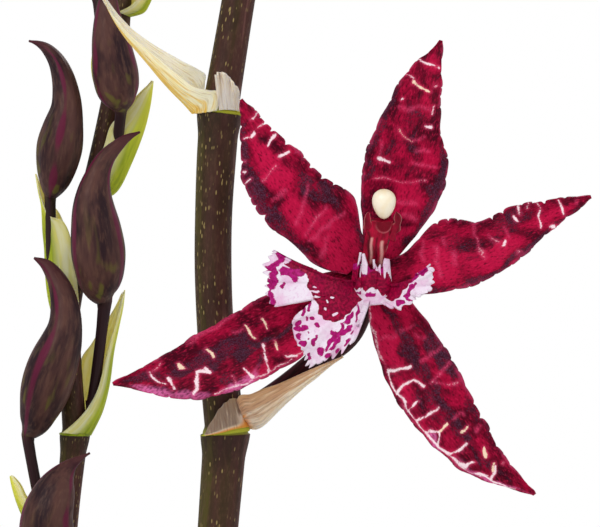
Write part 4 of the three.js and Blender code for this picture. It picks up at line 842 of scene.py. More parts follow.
# %% The finish of the lip
lip_skin = Finish("lip_skin", Roughness=0.5, Specular_IOR_Level=0.08)
grain = lip_skin.noise(lip_skin.place((2.2, 2.2, 2.2), "skin"), detail=3)
cloud = lip_skin.noise(lip_skin.place((0.3, 0.3, 0.3), "skin"), detail=2)
white = lip_skin.mix(lip_skin.steps(cloud, 0.42, 0.66), "#efe2f0", "#e9c2de")
white = lip_skin.mix(lip_skin.steps(grain, 0.5, 0.75, 0, 0.45), white, "#d99ccb")
wine = lip_skin.mix(lip_skin.steps(grain, 0.35, 0.7), "#72042c", "#ae0a40")
wine = lip_skin.mix(lip_skin.steps(cloud, 0.5, 0.7, 0, 0.5), wine, "#85103f")
magenta = lip_skin.mix(lip_skin.steps(grain, 0.3, 0.7), "#920a56", "#b8187c")
skin = lip_skin.mix(lip_skin.steps(lip_skin.mark("spot"), 0.35, 0.75), white, magenta)
skin = lip_skin.mix(lip_skin.steps(lip_skin.mark("stain"), 0.3, 0.7), skin, wine)
lip_skin.paint(skin, lip_skin.steps(grain, 0.3, 0.7, 0.5, 0.28), lip_skin.bump(grain, 0.1, 0.5))

# %% The three lips
make("bloom_1_lip_skin", placed(lip(60, 372), BLOOMS["bloom_1"]), lip_skin, ["bloom_1_lip"])
for bloom in ("bloom_2", "bloom_3"):
    make(f"{bloom}_lip_skin", placed(lip(28, 150), BLOOMS[bloom]), lip_skin, [f"{bloom}_lip"])

# %% [markdown]
# ## The column and its cap
# Pistil and stamens are one body here, the column. It leans forward over the lip like a hooded neck, with a small
# wing on each side, and ends in the anther cap, a waxy cream egg. The column is a skin over oval rings, and each
# wing a flat tapering tube. The cap is a ball stretched three ways, with a shallow furrow down its back.

# %% The shapes of the column and the cap
COLUMN_CENTRES = [(0, -1.8, 1.1), (0.1, -3.4, 2.3), (0.5, -4.9, 4.9), (1.1, -5.9, 7.4), (1.5, -6.6, 9)]
COLUMN_TILTS = [90, 52, 26, 20, 20]
COLUMN_WIDE = [1.3, 1.7, 2, 2.15, 1.8]
COLUMN_DEEP = [1.2, 1.4, 1.6, 1.7, 1.5]
CAP_CENTRE = (1.8, -7.3, 11.65)
CAP_SIZE = (1.9, 1.85, 2.5)
CAP_LEAN = 14


# Painted light on the neck: pale streaks are painted highlights, dark ones painted shade; each is a width and x, z
# points.
COLUMN_PAINTED_LIGHT = {
    "light": [(0.3, [(-0.25, 6), (-0.3, 2)]), (0.45, [(1.5, 5.4), (1.4, 2)]), (0.25, [(2.6, 4.6), (2.3, 2.2)])],
    "dark": [(0.5, [(-0.7, 7), (-0.6, 2.5)]), (0.55, [(2.9, 7), (2.7, 3)]), (0.3, [(0.6, 6), (0.5, 2.5)])],
}
STIGMA = (1.75, 8.4)
STIGMA_SIZE = (1.35, 1.5)


def column_marks(rings, up):
    """Painted highlights and painted shade as streaks up the neck's front, and the stigma: a dark bowl under the cap,
    ringed by a thin pale line. They are drawn as the camera sees them, by x and z, so that each turns up on the back
    too."""
    x, z = rings[..., 0], rings[..., 2]
    marks = {}
    for name, streaks in COLUMN_PAINTED_LIGHT.items():
        lines = [stroke(x + 0.1 * wander(z, 91, 0.1, 0.4), z, line, width, 0.35) for width, line in streaks]
        marks[name] = np.max(lines, axis=0)
    off = np.hypot((x - STIGMA[0]) / STIGMA_SIZE[0], (z - STIGMA[1]) / STIGMA_SIZE[1])
    marks["bowl"] = 1 - smooth(0.8, 0.95, off)
    marks["ring"] = smooth(0.09, 0.02, np.abs(off - 0.96)) * smooth(0.2, -0.8, z - STIGMA[1])
    return marks | {"up": up}


def column(rows, sides):
    """The neck: oval rings whose centres, tilts and half widths run smoothly through the measured ones. Grooves run
    up it, and a hollow lies in the side that faces the lip."""
    u = np.linspace(0, 1, rows)[:, None]
    angle = np.linspace(0, TURN, sides, endpoint=False)[None, :]
    centre = through(COLUMN_CENTRES, u)
    tilt = np.radians(through(COLUMN_TILTS, u))
    groove = 1 - 0.3 * np.exp(-(((angle - 1.5 * math.pi) / 0.5) ** 2)) * smooth(0.55, 0.8, u) + 0.04 * np.cos(9 * angle)
    across = through(COLUMN_WIDE, u) * np.cos(angle) * (1 + 0.03 * np.cos(9 * angle))
    deep = through(COLUMN_DEEP, u) * np.sin(angle) * groove
    rings = np.stack(
        [centre[..., 0] + across, centre[..., 1] + deep * np.cos(tilt), centre[..., 2] + deep * np.sin(tilt)], -1
    )
    return tube(rings, **column_marks(rings, u + 0 * angle))


def wing(side):
    """A wing: a thin oval tube along a curve of four points, wavy along its edges, from 0.75 mm to 0.3 mm across."""
    curve = [(1.3 + 1.3 * side, -6.1, 6), (1.5 + 2 * side, -6.6, 7.4), (1.6 + 2.5 * side, -7.2, 8.8), (1.5 + 2.3 * side, -7.7, 10.4)]
    u = np.linspace(0, 1, 40)
    angle = np.linspace(0, TURN, 20, endpoint=False)
    centre = through(curve, u)
    along = unit(np.gradient(centre, axis=0))
    across = unit(np.cross(along, (0, 1, 0)))
    deep = np.cross(along, across)
    size = lerp(0.95, 0.45, u) * (1 - 0.85 * smooth(0.85, 1, u)) * (1 + 0.25 * wander(u, 95 + side, 1.5, 4))
    spread = across[:, None] * np.cos(angle)[None, :, None] + 0.4 * deep[:, None] * np.sin(angle)[None, :, None]
    rings = centre[:, None] + size[:, None, None] * spread
    edge = smooth(0.75, 1, np.abs(np.cos(angle)))[None, :] * smooth(0.25, 0.6, u)[:, None]
    none = np.zeros(edge.shape)
    # The wing's edges get the painted highlight and its body the painted shade.
    return tube(rings, light=0.45 * edge, dark=0.5 * (1 - edge), bowl=none, ring=none, up=none + 0.9)


def cap(rows, sides):
    """The cap: a ball's rings from pole to pole, each direction stretched by its half size, a little narrower at the
    foot like an egg, with a furrow up the back, leaned forward about x."""
    u = np.linspace(0.02, 0.98, rows)[:, None]
    angle = np.linspace(0, TURN, sides, endpoint=False)[None, :]
    furrow = 1 - 0.07 * np.exp(-(((angle - 0.5 * math.pi) / 0.25) ** 2))
    girth = np.sin(math.pi * u) * (1 - 0.25 * np.cos(math.pi * u)) * furrow
    x = CAP_SIZE[0] * girth * np.cos(angle)
    y = CAP_SIZE[1] * girth * np.sin(angle)
    z = -CAP_SIZE[2] * np.cos(math.pi * u) + 0 * angle
    lean = math.radians(CAP_LEAN)
    y, z = y * math.cos(lean) - z * math.sin(lean), y * math.sin(lean) + z * math.cos(lean)
    rings = np.stack([x, y, z], -1) + np.array(CAP_CENTRE)
    return tube(rings, up=u + 0 * angle)


# %% The finishes of the column and the cap
column_skin = Finish("column_skin", Roughness=0.4, Specular_IOR_Level=0.1)
grain = column_skin.noise(column_skin.place((900, 900, 350)), detail=3)
skin = column_skin.mix(column_skin.steps(grain, 0.35, 0.7), "#740620", "#b60f38")
# Dark streaks are painted shade along the neck's sides, and light ones painted highlights.
skin = column_skin.mix(column_skin.math("MULTIPLY", column_skin.mark("dark"), 0.8), skin, "#3d0411")
skin = column_skin.mix(column_skin.math("MULTIPLY", column_skin.mark("light"), 0.8), skin, "#f0b5ad")
skin = column_skin.mix(column_skin.math("MULTIPLY", column_skin.mark("bowl"), 0.9), skin, "#70061c")
skin = column_skin.mix(column_skin.math("MULTIPLY", column_skin.mark("ring"), 0.6), skin, "#b8646a")
# Darker towards the foot: painted shade where the column meets the lip.
skin = column_skin.mix(column_skin.steps(column_skin.mark("up"), 0.2, 0.02, 0, 0.6), skin, "#6a0a2a")
column_skin.paint(skin, column_skin.steps(grain, 0.3, 0.7, 0.42, 0.22), column_skin.bump(grain, 0.08, 0.5))

cap_skin = Finish("cap_skin", Roughness=0.4, Specular_IOR_Level=0.3)
grain = cap_skin.noise(cap_skin.place((700, 700, 700)), detail=2)
cloud = cap_skin.noise(cap_skin.place((280, 280, 280)), detail=2)
skin = cap_skin.mix(cap_skin.steps(cloud, 0.4, 0.65), "#fdf3dc", "#f6e2bb")
skin = cap_skin.mix(cap_skin.steps(cap_skin.mark("up"), 0.16, 0.02, 0, 0.7), skin, "#c98b4a")
cap_skin.paint(skin, cap_skin.steps(grain, 0.3, 0.7, 0.4, 0.22), cap_skin.bump(grain, 0.05, 0.4))

# %% The columns and caps in place
for (bloom, where), sides in zip(BLOOMS.items(), (72, 40, 40)):
    neck = join(column(sides, sides), wing(-1), wing(1))
    make(f"{bloom}_column_skin", placed(neck, where), column_skin, [f"{bloom}_column"])
    make(f"{bloom}_cap_skin", placed(cap(40, 44), where), cap_skin, [f"{bloom}_anther_cap"])

# %% [markdown]
# ## The spikes
# A flower spike grows in stages. Each stage ends in a joint where one flower grows, and the stem leans a little the
# other way from there, so that it zigzags, and bows a little on the way. It swells slowly up to a joint and steps in sharply above it. The rings
# below follow the measured joints in straight pieces, and the step at each joint comes from one formula.

# %% The joints
FRONT_SPIKE = np.array([
    (-24, -38, 88, 4.6, 0), (-26.5, -44, 150, 4.3, 0.5), (-25, -50, 206, 4.1, -0.5), (-20.5, -55, 262, 3.9, 0.6),
    (-15.2, -58.5, 318, 3.75, 0), (-10.8, -60, 372.9, 3.6, -1.6), (-11.8, -60, 427.8, 3.3, 0), (-3.9, -61, 475, 2.9, -0.5),
    (-7.5, -62, 517, 2.5, 0), (-1.5, -61, 553, 2.1, 0), (-4, -59.5, 582, 1.7, 0), (-1, -58.5, 602, 1.2, 0),
])
BACK_SPIKE = np.array([
    (-21, 45, 88, 3.9, 0), (-27, 57, 155, 3.6, -0.5), (-34, 66, 210, 3.4, 0.5), (-41, 74, 262, 3.2, -0.6), (-47.3, 79, 311.9, 3.0, 0),
    (-49.5, 80, 338, 2.9, 0), (-46.7, 80, 364.9, 2.8, 0), (-48.4, 80, 390, 2.6, 0), (-43.4, 81, 416.8, 2.4, 0),
    (-37.4, 81, 444, 2.2, 0), (-35.5, 80, 470, 1.9, 0), (-30, 79, 493, 1.6, 0), (-29, 77, 512, 1.2, 0),
])
JOINT_SWELL = 1.13


def spike_point(joints, t):
    """The stem's middle at place t, counted in joints: on the straight line between two joints, and off it along x
    by half a sine wave times the lower joint's bow."""
    t = np.asarray(t, float)
    i = np.clip(np.floor(t).astype(int), 0, len(joints) - 2)
    aside = joints[i, 4] * np.sin(math.pi * (t - i))
    return lerp(joints[i, :3], joints[i + 1, :3], (t - i)[..., None]) + aside[..., None] * np.array([1.0, 0, 0])


def spike_radius(joints, t):
    """The stem's radius at place t: from 0.96 of that at the joint below to 1.05 of that at the joint above, with a
    waist 9% slimmer half way."""
    t = np.asarray(t, float)
    i = np.clip(np.floor(t).astype(int), 0, len(joints) - 2)
    return lerp(0.96 * joints[i, 3], 1.05 * joints[i + 1, 3], t - i) * (1 - 0.09 * np.sin(math.pi * (t - i)))


def spike_axis(joints, t):
    """The stem's direction at place t, from just below it to just above."""
    t = np.asarray(t, float)
    return unit(spike_point(joints, t + 0.06) - spike_point(joints, t - 0.06))


def stem_rings(joints, t, radius, sides, slant=0.0):
    """Rings square to the stem at places t. Angle 0 is the side towards +x, and a slant lifts that side."""
    along = spike_axis(joints, t)
    across = unit(np.array([1.0, 0, 0]) - along * along[:, :1])
    deep = np.cross(along, across)
    angle = np.linspace(0, TURN, sides, endpoint=False)
    centre = spike_point(joints, t)
    round_about = across[:, None] * np.cos(angle)[None, :, None] + deep[:, None] * np.sin(angle)[None, :, None]
    lift = along[:, None] * (np.asarray(slant)[..., None, None] * np.cos(angle)[None, :, None])
    return centre[:, None] + np.asarray(radius)[..., None] * round_about + lift, angle


def spike_skin(joints, rows, sides, seed):
    """The whole stem. Its radius swells by 13% over the last 4 mm below a joint, and steps back within 1.5 mm above
    it. The rows lie five times closer at the joints. Shallow ridges run along it, and the tip closes. The mark called skin is the place on a straight stem of the
    same girth: x and y round it and z along it, so that the finish runs up the stem without a seam."""
    last = len(joints) - 1
    even = np.linspace(-0.05, last, rows)
    t = even - 0.13 * np.sin(TURN * even)
    t[0] = -0.05
    length = np.linalg.norm(np.diff(joints[:, :3], axis=0), axis=1)
    i = np.clip(np.floor(t).astype(int), 0, last - 1)
    above = (t - i) * length[i]
    below = (1 - (t - i)) * length[i]
    swell = np.where(i >= 1, 1 - smooth(0.2, 1.5, above), 0) + np.where(i < last - 1, smooth(4.5, 0.1, below), 0)
    radius = spike_radius(joints, t) * (1 + (JOINT_SWELL - 1) * swell) * (1 - 0.7 * smooth(last - 0.15, last, t))
    angle = np.linspace(0, TURN, sides, endpoint=False)
    height = np.concatenate([[0], np.cumsum(np.linalg.norm(np.diff(spike_point(joints, t), axis=0), axis=1))])
    ridge = 1 + 0.008 * np.cos(9 * angle + 0.7)[None, :] + 0.008 * wander(height / 60, seed, 1, 4)[:, None]
    rings, angle = stem_rings(joints, t, radius[:, None] * ridge, sides)
    flat = np.stack(
        [
            radius[:, None] * np.cos(angle),
            radius[:, None] * np.sin(angle),
            height[:, None] + 0 * angle,
        ],
        -1,
    )
    near = np.where(i < last - 1, smooth(7, 0.5, below), 0)[:, None] + 0 * angle
    step = np.where(i >= 1, smooth(1.4, 0.3, above), 0)[:, None] + 0 * angle
    tip = smooth(last - 3.2, last - 0.5, t)[:, None] + 0 * angle
    return tube(rings, skin=flat, near=near, step=step, tip=tip)


# %% [markdown]
# A fresh spike is dark olive brown, nearly black where it is purple, with short yellow-green dashes that run up it in
# loose groups: the pores of the stem. Their cells are drawn out three times along the stem, and only where a cell's
# middle comes near the surface does a dash show, so that they keep their distance from each other. Its colour also
# turns with the side it faces: olive towards -x and purplish towards +x, where a paler purple-grey is a painted
# highlight.

# %% The finish of the stems
stem_skin = Finish("stem_skin", Roughness=0.5, Specular_IOR_Level=0.12)
grain = stem_skin.noise(stem_skin.place((2.6, 2.6, 0.8), "skin"), detail=4)
streak = stem_skin.noise(stem_skin.place((0.55, 0.55, 0.035), "skin"), detail=3)
group = stem_skin.noise(stem_skin.place((0.3, 0.3, 0.12), "skin"), detail=2)
pore = stem_skin.cells(stem_skin.place((1.8, 1.8, 0.55), "skin"))
side = stem_skin.add("SeparateXYZ", {"Vector": stem_skin.mark("skin", True)}, "X")
lean = stem_skin.math("MULTIPLY_ADD", side, -0.07)
stem_skin.links.new(streak, lean.node.inputs[2])
# The tone leans with the side of the stem: olive towards -x, purplish towards +x, with a paler purple-grey painted
# highlight mostly along the +x side.
stem_colour_and_painted_highlight = stem_skin.mix(stem_skin.steps(lean, 0.3, 0.68), "#4a2c28", "#3d2e1c")
stem_colour_and_painted_highlight = stem_skin.mix(stem_skin.steps(lean, 0.64, 0.82, 0, 0.55), stem_colour_and_painted_highlight, "#55501f")
stem_colour_and_painted_highlight = stem_skin.mix(stem_skin.steps(lean, 0.34, 0.24, 0, 0.7), stem_colour_and_painted_highlight, "#6f4a44")
stem_colour_and_painted_highlight = stem_skin.mix(stem_skin.steps(grain, 0.45, 0.7, 0, 0.45), stem_colour_and_painted_highlight, "#5e4232")
stem_colour_and_painted_highlight = stem_skin.mix(stem_skin.steps(group, 0.45, 0.65, 0, 0.4), stem_colour_and_painted_highlight, "#281a14")
dash = stem_skin.math("MULTIPLY", stem_skin.steps(pore, 0.27, 0.15), stem_skin.steps(group, 0.38, 0.58, 0.05, 0.75))
stem_colour_and_painted_highlight = stem_skin.mix(dash, stem_colour_and_painted_highlight, "#a8935c")
stem_colour_and_painted_highlight = stem_skin.mix(stem_skin.math("MULTIPLY", stem_skin.mark("near"), 0.45), stem_colour_and_painted_highlight, "#241a18")
stem_colour_and_painted_highlight = stem_skin.mix(stem_skin.mark("step"), stem_colour_and_painted_highlight, "#8f9038")
stem_colour_and_painted_highlight = stem_skin.mix(stem_skin.math("MULTIPLY", stem_skin.mark("tip"), 0.55), stem_colour_and_painted_highlight, "#5d6a26")
relief = stem_skin.bump(stem_skin.math("ADD", grain, dash), 0.12, 0.6)
stem_skin.paint(stem_colour_and_painted_highlight, stem_skin.steps(grain, 0.3, 0.7, 0.6, 0.42), relief)

# %% [markdown]
# ## Bracts
# Under every flower and bud stands a bract, a leaf made small. It wraps the joint with a narrow collar and leaves it
# on one side as a boat that narrows to a point. Old ones dry to paper, split and curl, and fresh ones are
# yellow-green. Those that the photograph shows are read off it as three curves from foot to tip: the keel, the margin
# of the near half, and that of the far half, whose inside is seen. The others follow one formula.


# %% The shape of a bract
def seen(pixels, depth):
    """Points of the photograph put back at a depth: their distance from its middle in pixels, over the six pixels
    that a millimetre takes at the bloom, times how much further away than the bloom the depth is."""
    pixels = np.asarray(pixels, float)
    depth = np.asarray(depth, float) + 0 * pixels[..., 0]
    grow = (depth - CAMERA_PLACE[1]) / VIEW_DISTANCE / PIXELS_PER_MM
    x = CAMERA_PLACE[0] + (pixels[..., 0] - PHOTO_MIDDLE[0]) * grow
    z = CAMERA_PLACE[2] + (PHOTO_MIDDLE[1] - pixels[..., 1]) * grow
    return np.stack([x, depth, z], -1)


def folded(keel, near, far, depth, deep, seed, rows=76, columns=31):
    """A bract folded along its keel, whose depth runs smoothly through the given ones. Across each half the section
    turns a quarter round: in the picture it lies 1 - cos of the way from the keel to the margin, and in depth it
    comes nearer, or goes further, by sin of it. The depth dies away towards the tip with the square root of what is
    left."""
    u = np.linspace(0, 1, rows)[:, None]
    v = np.linspace(-1, 1, columns)[None, :]
    quarter = np.abs(v) * math.pi / 2
    margin = np.where((v < 0)[..., None], through(near, u), through(far, u))
    share = (1 - np.cos(quarter))[..., None]
    middle = through(depth, u)
    ribs = 0.35 * np.cos(40 * v + 2 * wander(u, seed, 1, 3)) * np.sin(quarter * 2)
    pixels = lerp(through(keel, u), margin, share) + ribs[..., None] * (1 - u)[..., None]
    away = middle + deep * np.sign(v) * np.sin(quarter) * np.sqrt(1 - 0.97 * u)
    front = seen(pixels, away + 0.12 * wander(u + 0.2 * v, seed + 1, 2, 5) * v**4)
    length = np.linalg.norm(np.diff(front[:, columns // 2], axis=0), axis=1).sum()
    over, run = v + 0 * u, u + 0 * v
    skin = np.stack([over * deep * 2, run * length, np.full(over.shape, 3.1 * seed)], -1)
    return sheet(front, np.full(over.shape, 0.28), run=run, over=over, skin=skin)


def wrapped(joints, joint, bottom, top, seed, lift, warm):
    """The torn foot of a bract, a sheet that lies on the stem: between its bottom and top edges in the photograph,
    as near as the round stem is there, with its top edge frayed and standing off by lift. A warm of 0 gives its
    lowest part, and the fold beside the bract, the foot's colour, and 1 leaves all of it grey."""
    w = np.linspace(0, 1, 48)[None, :]
    u = np.linspace(0, 1, 24)[:, None]
    fray = 1 + 0.025 * wander(w, seed, 3, 9) * u
    flat = seen(lerp(through(bottom, w), through(top, w), (u * fray)[..., None]), joints[joint, 1])
    centre = joints[joint, :3] + spike_axis(joints, joint) * (flat[..., 2:] - joints[joint, 2])
    radius = JOINT_SWELL * joints[joint, 3] + 0.35
    off = np.clip((flat[..., 0] - centre[..., 0]) / radius, -0.99, 0.99)
    flat[..., 1] = centre[..., 1] - radius * np.sqrt(1 - off**2) - lift * u**3 * (1 + 0.5 * wander(w, seed + 1, 1, 3))
    skin = np.stack([w * 7 + 0 * u, u * 6 + 0 * w, np.full(off.shape, 1.7 * seed)], -1)
    grey = 1 - (1 - warm) * smooth(0.72, 0.96, w) * smooth(0.6, 0.35, u)
    torn = smooth(0, 0.2, u + warm) * grey
    return sheet(flat, np.full(off.shape, 0.25), run=(warm + u) * grey, over=0 * off, skin=skin, torn=torn)


def collar(joints, joint, azimuth, low=0.35, high=0.7, slant=0.0):
    """The collar: a thin ring round the joint, which is taller, and may be lifted, on the side that its bract leaves
    from."""
    axis, out, around, centre, radius = joint_frame(joints, joint, azimuth, 0.1)
    angle = np.linspace(0, TURN, 64, endpoint=False)
    section = np.linspace(0, 1, 14)[:, None]
    rim = radius - 0.35 + 0.3 * np.sin(math.pi * section) ** 0.6
    up = lerp(low, high, (1 + np.cos(angle)) / 2) * (section - 0.3) * 1.6 + slant * np.cos(angle)
    ring = (
        centre
        + axis * up[..., None]
        + rim[..., None] * (out * np.cos(angle)[None, :, None] + around * np.sin(angle)[None, :, None])
    )
    flat = np.stack([rim * np.cos(angle), rim * np.sin(angle), up], -1)
    zero = np.zeros(ring.shape[:2])
    return tube(ring, run=zero, over=zero, skin=flat, torn=zero - 1)


def joint_frame(joints, joint, azimuth, above):
    """The directions at a joint: up the stem, out of it towards the azimuth, and round it, with the middle of the
    joint moved up by above, and the radius that just clears the stem."""
    axis = spike_axis(joints, joint)
    heading = math.radians(azimuth)
    out = np.array([math.cos(heading), math.sin(heading), 0])
    out = unit(out - axis * (out @ axis))
    return axis, out, np.cross(axis, out), joints[joint, :3] + axis * above, JOINT_SWELL * joints[joint, 3] + 0.3


def boat(joints, joint, azimuth, reach, height, wrap=88, sunk=0.0, rows=60, columns=34, seed=1):
    """A bract by formula. Its keel swings out by reach and up by height, and its section is an arc of wrap degrees
    each way that shrinks to a point. A sunk one has its foot inside the stem."""
    axis, out, around, centre, radius = joint_frame(joints, joint, azimuth, -1.3 if sunk else 0.4)
    middle = radius - sunk + 0.2
    u = np.linspace(0, 1, rows)[:, None, None]
    v = np.linspace(-1, 1, columns)[None, :, None]

    def keel(s):
        swing = out * (middle + reach * lerp(s, np.sin(math.pi / 2 * s), 0.6))
        return centre + swing + axis * (0.4 + height * s)

    along = unit(keel(np.minimum(u + 0.01, 1)) - keel(u - 0.01))
    along = unit(lerp(along, axis, np.maximum(0, 1 - u / 0.15)))
    outwards = unit(out - along * (along @ out)[..., None])
    size = middle * (0.94 * (1 - u) ** 0.62 * (1 + 0.45 * u) + 0.06)
    fold = np.radians(wrap) * v * (1 + 0.06 * wander(u, seed, 1, 4))
    ribs = 0.02 * np.cos(34 * v + 2 * wander(u, seed + 1, 1, 3))
    front = keel(u) + size * (outwards * (np.cos(fold) - 1 + ribs) + around * np.sin(fold))
    over, run = v[..., 0] + 0 * u[..., 0], u[..., 0] + 0 * v[..., 0]
    skin = np.stack([over * middle * 1.5, run * math.hypot(reach, height), np.full(over.shape, 3.1 * seed)], -1)
    return sheet(front, np.full(over.shape, 0.3), run=run, over=-np.abs(over), skin=skin)


# %% The finishes of the bracts
GLOW = {"Subsurface_Weight": 0.6, "Subsurface_Scale": 0.002, "Subsurface_Radius": (1, 0.8, 0.45)}


def papery(name, keel, side, fibre, foot, inside, torn, threads=0.6):
    """Dry bract: one tan near the keel and one near the margins, a foot and an inside of their own, grey where it is
    torn, yellow-green on the collar, and over all of it brown fibres and pale ones that run along it."""
    made = Finish(name, Roughness=0.75, Specular_IOR_Level=0.12, **GLOW)
    thread = made.noise(made.place((3.6, 0.22, 1), "skin"), detail=4)
    streak = made.noise(made.place((1.1, 0.12, 1), "skin"), detail=3, distortion=0.3)
    spread = made.math("ADD", made.math("ABSOLUTE", made.mark("over")), made.steps(streak, 0.3, 0.7, -0.3, 0.3))
    skin = made.mix(made.steps(spread, 0.25, 0.85), keel, side)
    skin = made.mix(made.steps(made.mark("over"), 0.02, 0.12, 0, 0.9), skin, inside)
    low = made.math("MULTIPLY", made.steps(made.mark("run"), 0.14, 0.01), made.steps(spread, 0.75, 0.35, 0.1, 0.95))
    skin = made.mix(low, skin, foot)
    skin = made.mix(made.steps(made.mark("torn"), 0.2, 1, 0, 0.92), skin, torn)
    skin = made.mix(made.steps(thread, 0.5, 0.64, 0, threads), skin, fibre)
    skin = made.mix(made.steps(thread, 0.42, 0.28, 0, 0.45), skin, inside)
    skin = made.mix(made.steps(made.mark("torn"), -0.4, -0.7), skin, "#a9ac34")
    return made.paint(skin, made.steps(thread, 0.3, 0.7, 0.85, 0.55), made.bump(thread, 0.2, 0.7))


gold_paper = papery("gold_paper", "#f9c062", "#fff0c6", "#a87232", "#f2b144", "#fff6de", "#e6d8c8", 0.42)
brown_paper = papery("brown_paper", "#ffe2c8", "#cfa184", "#7c5040", "#f08a24", "#f6d9c0", "#8a7466", 0.42)

green_bract = Finish("green_bract", Roughness=0.5, Specular_IOR_Level=0.15, **GLOW)
vein = green_bract.noise(green_bract.place((1.6, 0.15, 1), "skin"), detail=3)
over = green_bract.mark("over")
run = green_bract.mark("run")
skin = green_bract.mix(green_bract.steps(vein, 0.35, 0.65), "#8d9c1c", "#b4be2a")
skin = green_bract.mix(green_bract.steps(run, 0.45, 0.9, 0, 0.75), skin, "#e2dc4c")
skin = green_bract.mix(green_bract.steps(run, 0.2, -0.05, 0, 0.5), skin, "#6f7f18")
inner = green_bract.mix(green_bract.steps(vein, 0.35, 0.65), "#f3e7b4", "#e9d988")
skin = green_bract.mix(green_bract.steps(green_bract.math("ABSOLUTE", over), 0.45, 0.8, 0, 0.9), skin, inner)
skin = green_bract.mix(green_bract.steps(over, 0.0, 0.25, 0, 0.95), skin, inner)
skin = green_bract.mix(green_bract.math("MULTIPLY", green_bract.steps(over, 0.0, 0.1), green_bract.steps(run, 0.3, 0.05)), skin, "#a3a436")
green_bract.paint(skin, green_bract.steps(vein, 0.3, 0.7, 0.55, 0.4), green_bract.bump(vein, 0.12, 0.5))

# %% [markdown]
# These curves are pixels of the photograph, from each bract's foot to its tip: the keel, the near margin and the far
# one, then the depths that the keel runs through and how far its halves reach to the front and the back.

# %% The bracts that the photograph shows
SEEN_BRACTS = {
    "bract_torn": (
        [(192, 114), (190.5, 112.5), (183, 104), (172, 93), (161, 81), (149.6, 67.2), (138, 53.5), (125.5, 39), (113, 20), (101, -4)],
        [(217, 110.5), (219.8, 92.5), (208, 90), (193, 86), (176, 73), (160, 60), (145.5, 47.5), (130.5, 35), (114.5, 18), (101.5, -4.5)],
        [(203, 96), (204.5, 84), (205.5, 75), (196, 68), (182, 61), (165.9, 52), (149, 41.5), (133, 29.5), (117, 13), (102, -5)],
        (-60, -60), 4.3,
    ),
    "bract_bloom_1": (
        [(249, 427), (256, 428), (263, 424.4), (272.2, 415.7), (283, 404.8), (293.9, 395), (304.7, 385.3), (316, 376.6), (330, 364.7), (342.7, 356)],
        [(237, 402), (240.7, 395), (250.5, 394), (262.4, 389), (276, 384.6), (288.5, 379.3), (303, 373), (317, 366.5), (330.5, 361), (343, 356)],
        [(240, 408), (244, 402), (252, 400), (263, 394), (277, 388), (289, 382), (303.5, 375), (317, 368), (330.5, 362), (343, 356.3)],
        (-60, -64, -67.5, -70, -72), 4,
    ),
    "bract_bud_3": (
        [(90, 435), (95.4, 425), (102.5, 409), (108.7, 384), (113, 352), (117.5, 329.5), (122, 308), (124, 290)],
        [(62, 433), (76, 421), (89, 406), (98, 388), (105, 362), (111, 340), (118, 315), (123.8, 291)],
        [(62, 430), (65, 412), (71, 396), (78, 377), (82, 357), (92, 343), (106, 322), (123.6, 292)],
        (80, 80), 3.6,
    ),
    "bract_bud_4": (
        [(54, 322), (48, 300), (45, 275), (44, 250), (42.2, 230), (41, 207), (38, 192), (35, 174)],
        [(80, 316), (78, 292), (75, 266), (71, 240), (63, 221), (50, 217), (41, 196), (35.6, 174.5)],
        [(80, 310), (76, 286), (72, 262), (68, 236), (60, 214), (50, 202), (42, 187), (35.6, 174.2)],
        (80, 80), 3.4,
    ),
    "bract_bud_5": (
        [(104, 198), (114, 193), (121, 184), (129, 167), (137.8, 146), (144.7, 125.7), (149.8, 103), (152.4, 81)],
        [(80, 194), (89, 178), (98, 160), (104, 146), (111, 125), (125, 111), (140, 94), (152.4, 81.5)],
        [(80, 190), (87, 172), (96, 152), (104, 138), (112, 120), (126, 107), (141, 91), (152.4, 81)],
        (80, 80), 3.2,
    ),
    "bract_bud_6": (
        [(112, 104), (103, 101), (97, 92), (92.5, 79), (91, 64), (93, 50), (98, 38)],
        [(120, 99), (112, 92), (106, 80), (102, 66), (100, 54), (99, 45), (98.4, 38)],
        [(120, 92), (116, 84), (110, 72), (106, 61), (103, 51), (101, 44), (98.8, 38)],
        (80, 80), 2.6,
    ),
    "bract_bud_7": (
        [(130, 16), (143, 12), (149, 3), (153, -8), (156, -20), (158, -34)],
        [(118, 12), (130, 6), (140, -4), (147, -13), (153, -23), (157.6, -34)],
        [(116, 6), (124, -2), (133, -12), (143, -18), (151, -26), (157, -34)],
        (80, 80), 2.4,
    ),
}
TORN_FOOT = [(219.5, 111.5), (224, 111), (230, 111), (236, 111.4), (239.8, 112)]
TORN_TOP = [(216.8, 77), (218, 74.5), (222, 73.5), (227.5, 76), (232.5, 81.5), (236.5, 87.5), (239.8, 96)]
FLAP_FOOT = [(206, 434.5), (215, 433.2), (225, 430.6), (237, 427.4), (250, 426)]
FLAP_TOP = [(206.6, 430), (213.5, 418), (222, 405), (231, 398), (240, 397)]
for seed, (name, curves) in enumerate(SEEN_BRACTS.items()):
    SEEN_BRACTS[name] = folded(*curves, seed=70 + seed)

# %% The stems and their bracts in place
SMALL = {"reach": 7, "height": 6.5, "sunk": 0.7, "rows": 30, "columns": 24}
front_tip = [boat(FRONT_SPIKE, 9, -20, seed=31, **SMALL), boat(FRONT_SPIKE, 10, 165, seed=32, **SMALL)]
back_tip = [SEEN_BRACTS["bract_bud_6"], SEEN_BRACTS["bract_bud_7"], boat(BACK_SPIKE, 11, 190, seed=33, **SMALL)]
make("spike_front_stem", spike_skin(FRONT_SPIKE, 506, 40, 3), stem_skin, ["spike_front"])
make("spike_front_small_bracts", join(*front_tip), green_bract)
make("spike_back_stem", spike_skin(BACK_SPIKE, 456, 32, 4), stem_skin, ["spike_back"])
make("spike_back_small_bracts", join(*back_tip), green_bract)

